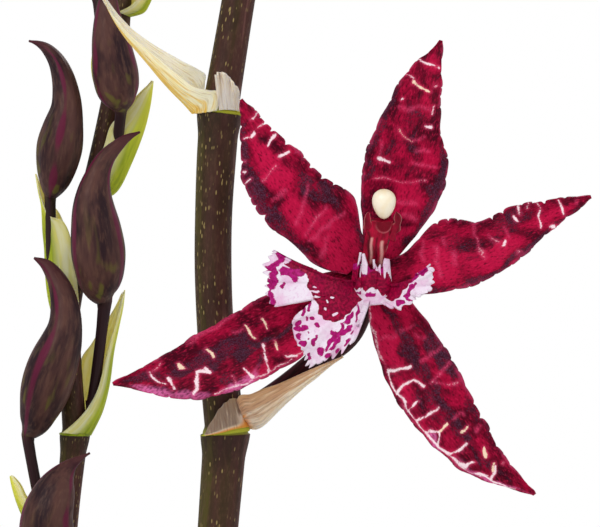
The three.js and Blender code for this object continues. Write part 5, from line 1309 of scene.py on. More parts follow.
torn_flap = wrapped(FRONT_SPIKE, 6, TORN_FOOT, TORN_TOP, 81, 0.9, 1)
bloom_flap = wrapped(FRONT_SPIKE, 5, FLAP_FOOT, FLAP_TOP, 83, 0.2, 0)
BRACTS = {
    "bract_bloom_1": (brown_paper, [SEEN_BRACTS["bract_bloom_1"], bloom_flap, collar(FRONT_SPIKE, 5, -20, 0.2, 0.8, 0.6)]),
    "bract_torn": (gold_paper, [SEEN_BRACTS["bract_torn"], torn_flap, collar(FRONT_SPIKE, 6, -60, 0.3, 0.6)]),
    "bract_bloom_2": (brown_paper, [boat(FRONT_SPIKE, 7, -11, 11, 11, 86, seed=42), collar(FRONT_SPIKE, 7, -11)]),
    "bract_bloom_3": (gold_paper, [boat(FRONT_SPIKE, 8, 155, 12, 10.5, 86, seed=43), collar(FRONT_SPIKE, 8, 155)]),
    "bract_bud_1": (green_bract, [boat(BACK_SPIKE, 4, 211, 15.5, 18, seed=44), collar(BACK_SPIKE, 4, 211)]),
    "bract_bud_2": (green_bract, [boat(BACK_SPIKE, 5, 180, 7.5, 17, seed=45), collar(BACK_SPIKE, 5, 180)]),
    "bract_bud_3": (green_bract, [SEEN_BRACTS["bract_bud_3"], collar(BACK_SPIKE, 6, -8)]),
    "bract_bud_4": (green_bract, [SEEN_BRACTS["bract_bud_4"], collar(BACK_SPIKE, 7, 184)]),
    "bract_bud_5": (green_bract, [SEEN_BRACTS["bract_bud_5"], collar(BACK_SPIKE, 8, 0)]),
}
for name, (finish, parts) in BRACTS.items():
    make(f"{name}_skin", join(*parts), finish, [name])

# %% [markdown]
# Further down, the joints bear no flower. Each keeps a tight sheath, the bract that never opened: a thin sleeve
# 21 mm tall whose top is cut at a slant and gone brown.

# %% The sheaths
SHEATH_HEIGHT = 21
SHEATH_SLANT = 5


def sleeve(joints, joint, seed):
    """A sheath: rings round the stem from its joint up, 0.9 mm proud at the foot and 0.7 mm at the top, the top one
    slanting by 5 mm, with a rim 0.12 mm prouder."""
    length = np.linalg.norm(joints[joint + 1, :3] - joints[joint, :3])
    share = np.linspace(0, 1, 30)
    t = joint + 0.012 + share * (SHEATH_HEIGHT / length)
    radius = spike_radius(joints, t) + lerp(0.95, 0.62, share) + 0.12 * (share > 0.97)
    slant = SHEATH_SLANT * share * (1 if joint % 2 == 0 else -1)
    sides = 40
    angle = np.linspace(0, TURN, sides + 1)
    rings, _ = stem_rings(joints, t, radius[:, None] + 0 * np.zeros(sides), sides, slant)
    rings = np.concatenate([rings, rings[:, :1]], axis=1)
    run = share[:, None] + 0 * angle
    skin = np.stack([radius[:, None] * angle, share[:, None] * SHEATH_HEIGHT + 0 * angle, 0 * run + seed], -1)
    return sheet(rings, np.full(run.shape, 0.4), run=run, over=-run, skin=skin, torn=smooth(0.85, 1, run))


sheath_paper = papery("sheath_paper", "#8f8047", "#8f8047", "#4f3b24", "#7a8030", "#b8a878", "#7c6f52")
for name, joints, bare in (("spike_front_sheaths", FRONT_SPIKE, (1, 2, 3, 4)), ("spike_back_sheaths", BACK_SPIKE, (1, 2, 3))):
    make(name, join(*[sleeve(joints, joint, 50 + joint) for joint in bare]), sheath_paper)

# %% [markdown]
# ## Pedicels and buds
# A bloom stands on a pedicel: a thin stalk that leaves the stem just above its bract and thickens behind the bloom
# into the ovary. A bud is the same stalk with the five tepals still folded round each other, so that it shows three
# long seams and ends in a bent tip.


# %% Round bodies along a curve
def stalk_root(joints, joint, azimuth, above):
    """Where a stalk leaves the stem: above the joint, on its surface, with the direction out."""
    length = np.linalg.norm(joints[joint + 1, :3] - joints[joint, :3])
    t = joint + above / length
    heading = math.radians(azimuth)
    out = np.array([math.cos(heading), math.sin(heading), 0])
    return out, spike_point(joints, t) + out * (max(float(spike_radius(joints, t)), 1) + 0.4)


def along_curve(centre, radius, sides, towards=(0, 1, 0), seams=0.0, turn=0.0):
    """Rings square to a curve. Angle 0 is the side nearest to a direction, and seams adds three low ridges."""
    along = unit(np.gradient(centre, axis=0))
    across = unit(np.array(towards, float) - along * (along @ np.array(towards, float))[:, None])
    deep = np.cross(along, across)
    angle = np.linspace(0, TURN, sides, endpoint=False)
    size = radius[:, None] * (1 + np.asarray(seams)[..., None] * (np.abs(np.cos(1.5 * (angle - turn))) ** 0.7 - 0.6))
    spread = across[:, None] * np.cos(angle)[None, :, None] + deep[:, None] * np.sin(angle)[None, :, None]
    return centre[:, None] + size[..., None] * spread, angle


def pedicel(bloom, joint, azimuth, above, via, knob):
    """A stalk from the stem up behind its bloom: a smooth curve through the given points, with a girth that runs
    smoothly from 1.5 mm to 2.2 mm, and six low ridges where it is the ovary."""
    out, root = stalk_root(FRONT_SPIKE, joint, azimuth, above)
    turn = math.radians(bloom["turn"])
    facing = np.array([math.sin(turn), -math.cos(turn), 0])
    end = np.array(bloom["centre"], float) + facing * knob
    points = [root, root + out * 1.9, *via, end - facing * 6, end - facing * 3, end]
    u = np.linspace(0, 1, 84)
    girth = through([1.5, 1.5, 1.6, 2, 2.2, 2.2, 2.2], u)
    rings, angle = along_curve(through(points, u), girth, 36, towards=(0.3, 0.2, 1))
    middle = rings.mean(axis=1, keepdims=True)
    rings = middle + (rings - middle) * (1 + 0.05 * smooth(0.5, 0.8, u)[:, None] * np.cos(6 * angle))[..., None]
    skin = np.stack([girth[:, None] * np.cos(angle), girth[:, None] * np.sin(angle), 30 * u[:, None] + 0 * angle], -1)
    none = np.zeros(rings.shape[:2])
    return tube(rings, skin=skin, near=none, step=none, tip=none)


STALK_ROWS = 14
BUD_OUTLINE = [0.2, 0.62, 0.9, 1, 0.97, 0.84, 0.62, 0.38, 0.2, 0.06]


def bowed(foot, tip, bulge, radius):
    """The middle line and the radii of a bud by formula: from foot to tip with a bow of 4 u (1 - u) times the bulge,
    and the usual outline times the radius."""
    u = np.linspace(0, 1, 64)
    foot, tip, bulge = (np.array(p, float) for p in (foot, tip, bulge))
    return lerp(foot, tip, u[:, None]) + bulge * (4 * u * (1 - u))[:, None], radius * through(BUD_OUTLINE, u)


def traced(spine, depths):
    """The middle line and the radii of a bud that the photograph shows: pixels x, y and half width from foot to tip,
    put back at depths that run smoothly through three."""
    u = np.linspace(0, 1, 64)
    measured = through(spine, u)
    depth = through(depths, u)
    grow = (depth - CAMERA_PLACE[1]) / VIEW_DISTANCE / PIXELS_PER_MM
    return seen(measured[:, :2], depth), measured[:, 2] * grow


def bud(joints, joint, azimuth, above, turn, body, radii, stalk=1.2, seed=1):
    """A bud on its stalk. The stalk curves from the stem to the bud's foot, and the body follows its middle line. It
    is flatter between its three seams, the first of which is turned from the back by the given angle."""
    out, root = stalk_root(joints, joint, azimuth, above)
    elbow = root + out * 1.5 + np.array([0, 0, 2.2])
    s = np.linspace(0, 0.9, STALK_ROWS, endpoint=False)
    u = np.linspace(0, 1, len(body))
    centre = np.concatenate([through([root, elbow, body[0]], s), body])
    girth = np.concatenate([np.full(STALK_ROWS, stalk) + 0.35 * smooth(0.25, 0, s), np.maximum(radii, 0.25)])
    neck = slice(STALK_ROWS, STALK_ROWS + 4)
    girth[neck] = np.maximum(girth[neck], stalk)
    centre[1:-1] = (centre[:-2] + 2 * centre[1:-1] + centre[2:]) / 4
    girth[1:-1] = (girth[:-2] + 2 * girth[1:-1] + girth[2:]) / 4
    grown = np.concatenate([np.zeros(STALK_ROWS), u])
    rings, angle = along_curve(centre, girth, 45, seams=0.1 * smooth(0, 0.15, grown), turn=turn)
    seam = np.abs(np.cos(1.5 * (angle - turn)))[None, :] + 0.02 * wander(grown, seed, 2, 5)[:, None]
    skin = np.stack(
        [girth[:, None] * np.cos(angle), girth[:, None] * np.sin(angle), (40 * grown)[:, None] + 0 * angle + 60 * seed], -1
    )
    stem_part = np.concatenate([np.ones(STALK_ROWS), 1 - smooth(0, 0.05, u)])[:, None] + 0 * angle
    return tube(rings, skin=skin, seam=seam, up=grown[:, None] + 0 * angle, stalk=stem_part)


# %% The finish of the buds and of the pedicels
bud_skin = Finish("bud_skin", Roughness=0.5, Specular_IOR_Level=0.15)
grain = bud_skin.noise(bud_skin.place((1.6, 1.6, 0.4), "skin"), detail=3)
cloud = bud_skin.noise(bud_skin.place((0.22, 0.22, 0.07), "skin"), detail=3)
spot = bud_skin.noise(bud_skin.place((0.45, 0.45, 0.18), "skin"), detail=1)
up = bud_skin.mark("up")
skin = bud_skin.mix(bud_skin.steps(cloud, 0.38, 0.62), "#2a171d", "#573833")
skin = bud_skin.mix(bud_skin.steps(grain, 0.45, 0.75, 0, 0.4), skin, "#6d4c3e")
olive = bud_skin.math("MULTIPLY", bud_skin.steps(spot, 0.56, 0.7, 0, 0.75), bud_skin.steps(up, 0.6, 0.1))
skin = bud_skin.mix(olive, skin, "#69622a")
skin = bud_skin.mix(bud_skin.steps(bud_skin.mark("seam"), 0.955, 1, 0, 0.9), skin, "#621636")
skin = bud_skin.mix(bud_skin.steps(up, 0.7, 1, 0, 0.7), skin, "#4a1a26")
skin = bud_skin.mix(bud_skin.math("MULTIPLY", bud_skin.mark("stalk"), 0.85), skin, "#24131a")
bud_skin.paint(skin, bud_skin.steps(grain, 0.3, 0.7, 0.6, 0.42), bud_skin.bump(grain, 0.12, 0.5))

stalk_skin = Finish("stalk_skin", Roughness=0.5, Specular_IOR_Level=0.12)
grain = stalk_skin.noise(stalk_skin.place((2, 2, 0.4), "skin"), detail=4)
skin = stalk_skin.mix(stalk_skin.steps(grain, 0.35, 0.65), "#23080f", "#45131f")
stalk_skin.paint(skin, stalk_skin.steps(grain, 0.3, 0.7, 0.6, 0.42), stalk_skin.bump(grain, 0.1, 0.5))

# %% The pedicels in place
PEDICELS = {
    "pedicel_1": (5, -15, 5.2, [(-1.4, -62.4, 380.9), (4.4, -64.2, 385.3), (10.5, -67.2, 390.4)], 1.5),
    "pedicel_2": (7, -11, 4.4, [(5, -62, 484.5), (11.5, -61.4, 491)], -1.9),
    "pedicel_3": (8, 155, 5.4, [(-15.5, -58.4, 527), (-20.5, -53, 538)], -1.9),
}
for (name, form), bloom in zip(PEDICELS.items(), BLOOMS.values()):
    make(f"{name}_skin", pedicel(bloom, *form), stalk_skin, [name])

# %% The buds in place
TRACED = {
    "bud_back_1": ((BACK_SPIKE, 4, 211, 6, -0.2), (73, 67, 69), [
        (28, 617, 6), (33, 606, 13), (38, 590, 19), (43, 570, 24), (47, 548, 26.5), (47, 530, 27), (48, 515, 25.5), (52, 501, 23),
        (57.5, 486, 18.5), (63, 475, 12.5), (71, 465, 6.5), (81, 458, 2.8), (90, 453, 0.5)]),
    "bud_back_2": ((BACK_SPIKE, 5, 182, 6, 0.6), (76.5, 70, 72), [
        (27, 437, 5.5), (34, 425, 14), (38, 412, 19), (43, 395, 24), (48, 377, 25.5), (54, 360, 24.5), (60.6, 342, 21),
        (64.6, 325, 17), (64.5, 308, 14.6), (61, 291, 12), (55, 277, 9.2), (46, 265, 6), (34, 258, 1)]),
    "bud_back_3": ((BACK_SPIKE, 6, -8, 6, 0.05), (76, 70, 71), [
        (105, 303, 6.5), (101.5, 293, 15), (100, 281, 21.5), (99.5, 266, 25), (98.2, 250, 26.7), (96, 229, 24.8), (93.7, 208, 21),
        (94.5, 190, 16.5), (99, 172, 11.8), (106, 158, 9), (116, 147, 6.6), (127, 138, 4), (140, 132, 0.8)]),
    "bud_back_4": ((BACK_SPIKE, 7, 184, 6, 1.05), (79, 74, 77), [
        (50, 198, 5), (52, 190, 11), (54.5, 179, 16.5), (57, 163, 20.8), (59.6, 146, 22.6), (63, 128, 20.2), (66.5, 108, 15.6),
        (65.5, 90, 13), (62, 74, 10.8), (56, 60, 8.4), (47, 49, 5.8), (38, 43.5, 3), (29, 41, 0.6)]),
    "bud_back_5": ((BACK_SPIKE, 8, -5, 6, 0.1), (75.5, 71, 70), [
        (121, 112, 5), (120, 103, 14), (117.5, 90, 20.8), (115.5, 74, 22.6), (113, 57, 21), (110, 38, 18), (108, 20, 14),
        (108, 2, 10), (110, -14, 6), (115, -27, 3), (121, -36, 0.6)]),
}
BOWED = {
    "bud_back_6": ((BACK_SPIKE, 9, 185, 6, 0.35), (-41.8, 82, 459), (-45, 81, 488), (-2, 0, 0), 4.5),
    "bud_back_7": ((BACK_SPIKE, 10, 0, 6, 0.35), (-27.4, 79, 484), (-21, 77, 508), (2, 0, 0), 3.8),
    "bud_back_8": ((BACK_SPIKE, 11, 190, 6, 0.35), (-35.5, 78, 504), (-38, 78, 523), (-1.6, 0, 0), 3),
    "bud_front_1": ((FRONT_SPIKE, 9, -20, 6, 0.35), (7, -64.5, 567), (13, -68, 596), (3, -1, 0), 5),
    "bud_front_2": ((FRONT_SPIKE, 10, 165, 6, 0.35), (-12, -57, 592), (-15, -55, 614), (-2, 1, 0), 3.9),
    "bud_front_3": ((FRONT_SPIKE, 10, 20, 16, 0.35), (4, -57, 608), (7, -56, 626), (1.6, 0, 0), 2.9),
}
bodies = {name: (root, traced(spine, depths)) for name, (root, depths, spine) in TRACED.items()}
bodies |= {name: (root, bowed(*form)) for name, (root, *form) in BOWED.items()}
for seed, (name, (root, (body, radii))) in enumerate(bodies.items()):
    make(f"{name}_skin", bud(*root, body, radii, seed=seed + 1), bud_skin, [name])

# %% [markdown]
# ## Leaves
# The strap leaves fold up from a keel at their foot and open further out. A leaf's midrib starts nearly upright and
# leans more and more, so its middle line is the running sum of its directions. Across it each half rises by the fold
# angle, and a slow ripple runs along the edges. The veins are parallel, as in all plants of this kind.

# %% The shape of a leaf
LEAF_THICKNESS = 1.3
LEAF_FOLD = 50
LEAF_OUTLINE = [0.42, 0.52, 0.72, 0.9, 1, 0.97, 0.88, 0.7, 0.42, 0.03]


def leaf(base, azimuth, swing, length, width, lean, rows=104, columns=21, seed=1):
    """A leaf as a sheet. Its direction is lean[0] to lean[1] degrees off upright by the power 1.5 of the way along,
    towards an azimuth that swings by the square of it. A point lies off the midrib by its share of the half width,
    turned up by the fold, with a ripple of its own along the edges."""
    u = np.linspace(0, 1, rows)
    between = (u[1:] + u[:-1]) / 2

    def heading(s):
        return np.radians(azimuth + swing * s**2)

    def direction(s):
        off = np.radians(lerp(lean[0], lean[1], s**1.5))
        return np.stack([np.cos(heading(s)) * np.sin(off), np.sin(heading(s)) * np.sin(off), np.cos(off)], -1)

    midrib = np.array(base, float) + np.concatenate([[[0, 0, 0]], np.cumsum(direction(between), axis=0)]) * length / (rows - 1)
    across = np.stack([-np.sin(heading(u)), np.cos(heading(u)), 0 * u], -1)
    upper = np.cross(direction(u), across)
    v = np.linspace(-1, 1, columns)[None, :]
    s = u[:, None]
    rise = np.radians(lerp(LEAF_FOLD, 13, smooth(0, 0.3, s)))
    half = width / 2 * through(LEAF_OUTLINE, s)
    ripple = 1.1 * v**2 * np.sin(17 * s + 2 * v) * np.minimum(1, 4 * s * (1 - s))
    ripple = ripple + 0.25 * np.abs(v) ** 3 * wander(s, seed, 8, 20) + 0.05 * np.cos(26 * v)
    keel = -0.5 * np.exp(-((v / 0.06) ** 2)) * (1 - s)
    front = (
        midrib[:, None]
        + across[:, None] * (half * v * np.cos(rise))[..., None]
        + upper[:, None] * (half * np.abs(v) ** 1.1 * np.sin(rise) + ripple + keel)[..., None]
    )
    skin = np.stack([half * v, length * s + 0 * v, np.full(front.shape[:2], 11.0 * seed)], -1)
    thick = LEAF_THICKNESS * lerp(1, 0.65, s) * lerp(1, 0.4, np.abs(v) ** 3)
    return sheet(front, thick, skin=skin, run=s + 0 * v, over=v + 0 * s)


# %% The finish of the leaves
leaf_skin = Finish("leaf_skin", Roughness=0.4, Specular_IOR_Level=0.45)
vein = leaf_skin.noise(leaf_skin.place((1.5, 0.012, 1), "skin"), detail=3)
cloud = leaf_skin.noise(leaf_skin.place((0.06, 0.02, 1), "skin"), detail=3)
pore = leaf_skin.noise(leaf_skin.place((2.5, 2.5, 1), "skin"), detail=2)
over = leaf_skin.math("ABSOLUTE", leaf_skin.mark("over"))
run = leaf_skin.mark("run")
skin = leaf_skin.mix(leaf_skin.steps(cloud, 0.35, 0.68), "#2f5a20", "#4f7c30")
skin = leaf_skin.mix(leaf_skin.steps(vein, 0.5, 0.68, 0, 0.5), skin, "#6d9440")
skin = leaf_skin.mix(leaf_skin.steps(vein, 0.45, 0.3, 0, 0.45), skin, "#24481a")
skin = leaf_skin.mix(leaf_skin.steps(over, 0.07, 0.0, 0, 0.65), skin, "#8fae58")
skin = leaf_skin.mix(leaf_skin.steps(run, 0.16, 0.0, 0, 0.85), skin, "#a3ad62")
tips = leaf_skin.math("ADD", run, leaf_skin.steps(cloud, 0.3, 0.7, -0.04, 0.04))
skin = leaf_skin.mix(leaf_skin.steps(tips, 0.93, 1.0, 0, 0.85), skin, "#a08a3c")
skin = leaf_skin.mix(leaf_skin.steps(tips, 0.985, 1.02), skin, "#5d3f22")
leaf_skin.paint(skin, leaf_skin.steps(pore, 0.3, 0.7, 0.48, 0.32), leaf_skin.bump(leaf_skin.math("ADD", vein, pore), 0.22, 0.5))

# %% The leaves in place
LEAF_FOOT = 95
BULB_FOOT = 92
TOP_GAP = 0.7
LEAVES = {
    "leaf_front_left": ((-24, -23, LEAF_FOOT), 196, -14, 262, 33, (4, 96)),
    "leaf_front_right": ((27.5, -19, LEAF_FOOT), -22, -10, 250, 34, (5, 88)),
    "leaf_middle_left": ((-17.5, 8, LEAF_FOOT), 172, -8, 288, 31, (2, 74)),
    "leaf_middle_right": ((29.5, 4, LEAF_FOOT), 12, 12, 276, 33, (3, 84)),
    "leaf_back_left": ((-20.5, 28, LEAF_FOOT), 158, 6, 240, 30, (3, 100)),
    "leaf_back_right": ((28.5, 36, LEAF_FOOT), 40, 2, 246, 32, (4, 92)),
    "leaf_top_front": ((2, -22, BULB_FOOT + 82 + TOP_GAP), -38, -18, 205, 30, (6, 84)),
    "leaf_top_middle": ((6, 6, BULB_FOOT + 76 + TOP_GAP), 25, 16, 196, 29, (4, 70)),
    "leaf_top_back": ((4, 33, BULB_FOOT + 68 + TOP_GAP), 96, -14, 186, 27, (6, 92)),
}
for seed, (name, form) in enumerate(LEAVES.items()):
    make(f"{name}_skin", leaf(*form, seed=seed + 1), leaf_skin, [name])

# %% [markdown]
# ## Pseudobulbs
# The plant stores water in pseudobulbs, swollen stems like flattened eggs. A young one is full and smooth, and older
# ones shrink into ridges. Dry brown sheaths still wrap their feet. A bulb is a skin over oval rings, whose outline is
# one curve and whose ridges are a cosine of the angle, and a sheath is part of the same surface, a little larger.

# %% The shape of a pseudobulb
BULB_OUTLINE = [0.62, 0.86, 0.98, 1, 0.95, 0.84, 0.68, 0.5, 0.33]
BULBS = {
    "pseudobulb_front": {"centre": (2, -22), "height": 82, "wide": 20, "deep": 12.5, "ridges": 0.012, "turn": 6},
    "pseudobulb_middle": {"centre": (6, 6), "height": 76, "wide": 19, "deep": 11.5, "ridges": 0.025, "turn": -8},
    "pseudobulb_back": {"centre": (4, 33), "height": 68, "wide": 18.5, "deep": 11, "ridges": 0.035, "turn": 10},
}


def bulb_points(form, u, angle, grow=0.0):
    """Points of a pseudobulb's surface at heights u and angles: an oval of the outline's size, times a small cosine
    for the ridges, turned about the upright."""
    size = through(BULB_OUTLINE, u) * (1 + form["ridges"] * (np.cos(7 * angle) + 0.3 * np.cos(15 * angle + 5 * u)))
    x = (form["wide"] * size + grow) * np.cos(angle)
    y = (form["deep"] * size + grow) * np.sin(angle)
    turn = math.radians(form["turn"])
    return np.stack(
        [
            form["centre"][0] + math.cos(turn) * x - math.sin(turn) * y,
            form["centre"][1] + math.sin(turn) * x + math.cos(turn) * y,
            BULB_FOOT + form["height"] * u + 0 * x,
        ],
        -1,
    )


def pseudobulb(form):
    """The bulb's whole skin, its top drawn in to close it."""
    u = np.linspace(0, 1, 64)[:, None]
    angle = np.linspace(0, TURN, 52, endpoint=False)[None, :]
    rings = bulb_points(form, u, angle)
    middle = rings.mean(axis=1, keepdims=True)
    rings = middle + (rings - middle) * (1 - 0.5 * smooth(0.97, 1, u))[..., None]
    return tube(rings, up=u + 0 * angle, ridge=np.cos(7 * angle) + 0 * u)


def bulb_sheath(form, start, seed):
    """A dry sheath: the part of the bulb's surface within 75 degrees of an angle, up to a height that falls from the
    middle to the sides, standing off by half a millimetre and more at its torn edge."""
    v = np.linspace(-1, 1, 36)[None, :]
    s = np.linspace(0, 1, 40)[:, None]
    top = 0.62 * (1 - np.abs(v) ** 2.2) * (1 + 0.05 * wander(v, seed, 3, 9)) + 0.12
    angle = math.radians(start) + math.radians(75) * v * (1 - 0.25 * s)
    grow = 0.6 + 1.4 * s**4 * (1 + 0.5 * wander(v, seed + 1, 1, 4))
    front = bulb_points(form, s * top, angle, grow)
    skin = np.stack([16 * v + 0 * s, 40 * s + 0 * v, np.full(front.shape[:2], 1.0 * seed)], -1)
    return sheet(front, np.full(front.shape[:2], 0.35), run=s + 0 * v, over=-np.abs(v) + 0 * s, skin=skin, torn=s**6 + 0 * v)


bulb_skin = Finish("bulb_skin", Roughness=0.4, Specular_IOR_Level=0.4)
streak = bulb_skin.noise(bulb_skin.place((420, 420, 24)), detail=4)
cloud = bulb_skin.noise(bulb_skin.place((60, 60, 30)), detail=3)
pore = bulb_skin.noise(bulb_skin.place((1300, 1300, 1300)), detail=2)
skin = bulb_skin.mix(bulb_skin.steps(cloud, 0.35, 0.65), "#66762c", "#8b9a42")
skin = bulb_skin.mix(bulb_skin.steps(streak, 0.52, 0.7, 0, 0.6), skin, "#a9a95a")
skin = bulb_skin.mix(bulb_skin.steps(streak, 0.44, 0.3, 0, 0.5), skin, "#4f5a20")
skin = bulb_skin.mix(bulb_skin.steps(bulb_skin.mark("up"), 0.75, 1, 0, 0.6), skin, "#b2b062")
skin = bulb_skin.mix(bulb_skin.steps(bulb_skin.mark("up"), 0.2, 0.05, 0, 0.5), skin, "#7a6436")
bulb_skin.paint(skin, bulb_skin.steps(pore, 0.3, 0.7, 0.5, 0.34), bulb_skin.bump(bulb_skin.math("ADD", streak, pore), 0.3, 0.5))
dry_sheath = papery("dry_sheath", "#9a7a50", "#a98a60", "#4a3220", "#5f4630", "#c9b08a", "#8a7258", 0.7)

# %% The pseudobulbs in place
for seed, (name, form) in enumerate(BULBS.items()):
    make(f"{name}_skin", pseudobulb(form), bulb_skin, [name])
    sheaths = join(*[bulb_sheath(form, start, 60 + 3 * seed + k) for k, start in enumerate((0, 180))])
    make(f"{name}_sheaths", sheaths, dry_sheath)

# %% [markdown]
# ## The bark
# Orchids of this kind grow in coarse fir bark. The bed is one surface: up the pot's wall and over an uneven top. On
# it lie a few hundred chips. A chip is four rings of eight points, flat and jagged, so that all of them together
# stay light. Each has its own size, tilt and tone, from a seeded generator, worked out for all chips at once.

# %% The bed and the chips
POT_FLOOR = 7
POT_HEIGHT = 120
POT_FOOT_RADIUS = 46
POT_WALL = 5
WALL_SLOPE = (65 - 3.5 - POT_FOOT_RADIUS) / (POT_HEIGHT - 22)
BED_TOP = 99.5
CHIPS = 330


def inside(z):
    """The pot's inner radius at a height."""
    return POT_FOOT_RADIUS - POT_WALL + WALL_SLOPE * z


def bed():
    """The bed: rings from the middle of its foot out, up the wall, and over the top back to the middle, where the
    height is mottled by 1.5 mm."""
    foot = np.stack([np.linspace(0.5, inside(POT_FLOOR) - 0.4, 8), np.full(8, POT_FLOOR + 0.3)], -1)
    climb = np.linspace(POT_FLOOR + 0.3, BED_TOP, 20)[1:]
    wall = np.stack([inside(climb) - 0.4, climb], -1)
    top = np.stack([np.linspace(inside(BED_TOP) - 0.4, 0.5, 60)[1:], np.full(59, BED_TOP)], -1)
    outline = np.concatenate([foot, wall, top])
    angle = np.linspace(0, TURN, 120, endpoint=False)
    x = outline[:, :1] * np.cos(angle)
    y = outline[:, :1] * np.sin(angle)
    z = outline[:, 1:] + 0 * angle
    onto = np.arange(len(outline))[:, None] >= len(foot) + len(wall)
    z = z + onto * (1.5 * mottle(x, y, 5, 71) - 0.5)
    return tube(np.stack([x, y, z], -1), tone=0.15 + 0 * z)


def chips(count, seed):
    """All chips as arrays chip by ring by point. A point is its ring's share of the half sizes at its angle, jagged
    by up to a quarter, then tilted about two axes, turned about the upright, and set down on a sunflower spiral."""
    random = np.random.default_rng(seed)
    k = np.arange(count)
    spiral = 2.399963 * k + random.uniform(-0.3, 0.3, count)
    half_long = random.uniform(3.5, 10.5, count)
    far = np.minimum(0.98 * inside(104), (inside(104) - 1) * np.sqrt((k + 0.5) / count)) - 0.6 * half_long
    angle = np.linspace(0, TURN, 8, endpoint=False)
    ring_share = np.array([0.72, 1.0, 0.97, 0.7])
    ring_height = np.array([-1.0, -0.45, 0.5, 1.0])
    jag = 1 + random.uniform(-0.25, 0.25, (count, 4, 8))
    square = 1 / np.maximum(np.abs(np.cos(angle)), np.abs(np.sin(angle))) ** 0.6
    x = half_long[:, None, None] * ring_share[None, :, None] * (square * np.cos(angle))[None, None, :] * jag
    y = (half_long * random.uniform(0.45, 0.8, count))[:, None, None] * ring_share[None, :, None]
    y = y * (square * np.sin(angle))[None, None, :] * jag
    z = (half_long * random.uniform(0.22, 0.42, count))[:, None, None] * ring_height[None, :, None]
    z = z * (1 + random.uniform(-0.25, 0.25, (count, 4, 8)))
    pitch, roll, turn = (random.uniform(-w, w, count)[:, None, None] for w in (0.55, 0.55, math.pi))
    y, z = y * np.cos(pitch) - z * np.sin(pitch), y * np.sin(pitch) + z * np.cos(pitch)
    x, z = x * np.cos(roll) + z * np.sin(roll), z * np.cos(roll) - x * np.sin(roll)
    x, y = x * np.cos(turn) - y * np.sin(turn), x * np.sin(turn) + y * np.cos(turn)
    x = x + (far * np.cos(spiral))[:, None, None]
    y = y + (far * np.sin(spiral))[:, None, None]
    z = z + (BED_TOP + random.uniform(0.5, 4.5, count))[:, None, None]
    rings = np.stack([x, y, z], -1)
    reach = np.hypot(rings[..., 0], rings[..., 1])
    limit = np.minimum(1, (inside(103) - 0.5) / np.maximum(reach, 1e-6))
    rings[..., :2] *= limit[..., None]
    shade = random.uniform(0, 1, count)
    each = [tube(chip, tone=np.full(chip.shape[:2], tone)) for chip, tone in zip(rings, shade)]
    return join(*each)


bark_skin = Finish("bark_skin", Roughness=0.85, Specular_IOR_Level=0.2)
fibre = bark_skin.noise(bark_skin.place((260, 900, 900)), detail=4, distortion=0.4)
cork = bark_skin.noise(bark_skin.place((500, 500, 500)), detail=4)
skin = bark_skin.mix(bark_skin.mark("tone"), "#4a2c1c", "#9a6a45")
skin = bark_skin.mix(bark_skin.steps(fibre, 0.5, 0.72, 0, 0.6), skin, "#b98a5e")
skin = bark_skin.mix(bark_skin.steps(cork, 0.48, 0.3, 0, 0.75), skin, "#2c1810")
bark_skin.paint(skin, bark_skin.steps(fibre, 0.3, 0.7, 0.95, 0.7), bark_skin.bump(bark_skin.math("ADD", fibre, cork), 0.6, 0.9))
made = make("bark_bed_and_chips", join(bed(), chips(CHIPS, 9)), bark_skin, ["bark"])
made.data.polygons.foreach_set("use_smooth", np.zeros(len(made.data.polygons), bool))

# %% [markdown]
# ## The pot
# A clay pot is thrown or pressed, then fired without a glaze, so it stays matt and porous. Fine rings run round it,
# minerals bloom pale on it where water dries, and its rim is worn. The wall is a profile turned about the upright.
# The three drain holes in its floor are cut with a Boolean, because a turned surface can't have holes off its axis.

# %% The pot's wall
POT_OUTLINE = [
    (0.5, 0), (44.5, 0), (46, 1.5), (61.5, 98), (64.2, 99), (65, 101), (65, 118), (63.5, 120), (60.98, 120),
    (59.98, 118), (42.11, 7), (0.5, 7),
]
DRAIN_RADIUS = 5
DRAIN_CIRCLE = 24


def pot_wall(step=2.4, sides=104):
    """The pot's skin. Its profile is read at even steps along its length, and turned. Rings 0.08 mm deep run round
    its outside, and the whole is 0.15 mm off round, as a fired pot is."""
    corners = np.array(POT_OUTLINE, float)
    run = np.concatenate([[0], np.cumsum(np.linalg.norm(np.diff(corners, axis=0), axis=1))])
    at = np.union1d(np.arange(0, run[-1], step), run)
    r = np.interp(at, run, corners[:, 0])[:, None]
    z = np.interp(at, run, corners[:, 1])[:, None]
    angle = np.linspace(0, TURN, sides, endpoint=False)[None, :]
    outside = ((at > run[2]) & (at < run[3]))[:, None]
    r = r + outside * 0.08 * wander(z, 81, 0.15, 0.5) + 0.15 * np.cos(2 * angle + 1) * smooth(1, 20, r)
    rings = np.stack([r * np.cos(angle), r * np.sin(angle), z + 0 * angle], -1)
    edge = np.exp(-(((z - 119.5) / 1.2) ** 2)) + np.exp(-(((z - 99.5) / 1.2) ** 2)) * (r > 60)
    return tube(rings, wear=np.clip(edge + 0 * angle, 0, 1), up=z / POT_HEIGHT + 0 * angle)


def drains():
    """Three upright tubes through the floor, a third of a turn apart."""
    angle = np.linspace(0, TURN, 32, endpoint=False)
    z = np.array([-5.0, 12.0])[:, None]
    tubes = []
    for k in range(3):
        place = k * TURN / 3 + math.pi / 6
        x = DRAIN_CIRCLE * math.cos(place) + DRAIN_RADIUS * np.cos(angle) + 0 * z
        y = DRAIN_CIRCLE * math.sin(place) + DRAIN_RADIUS * np.sin(angle) + 0 * z
        tubes.append(tube(np.stack([x, y, z + 0 * angle], -1)))
    return join(*tubes)


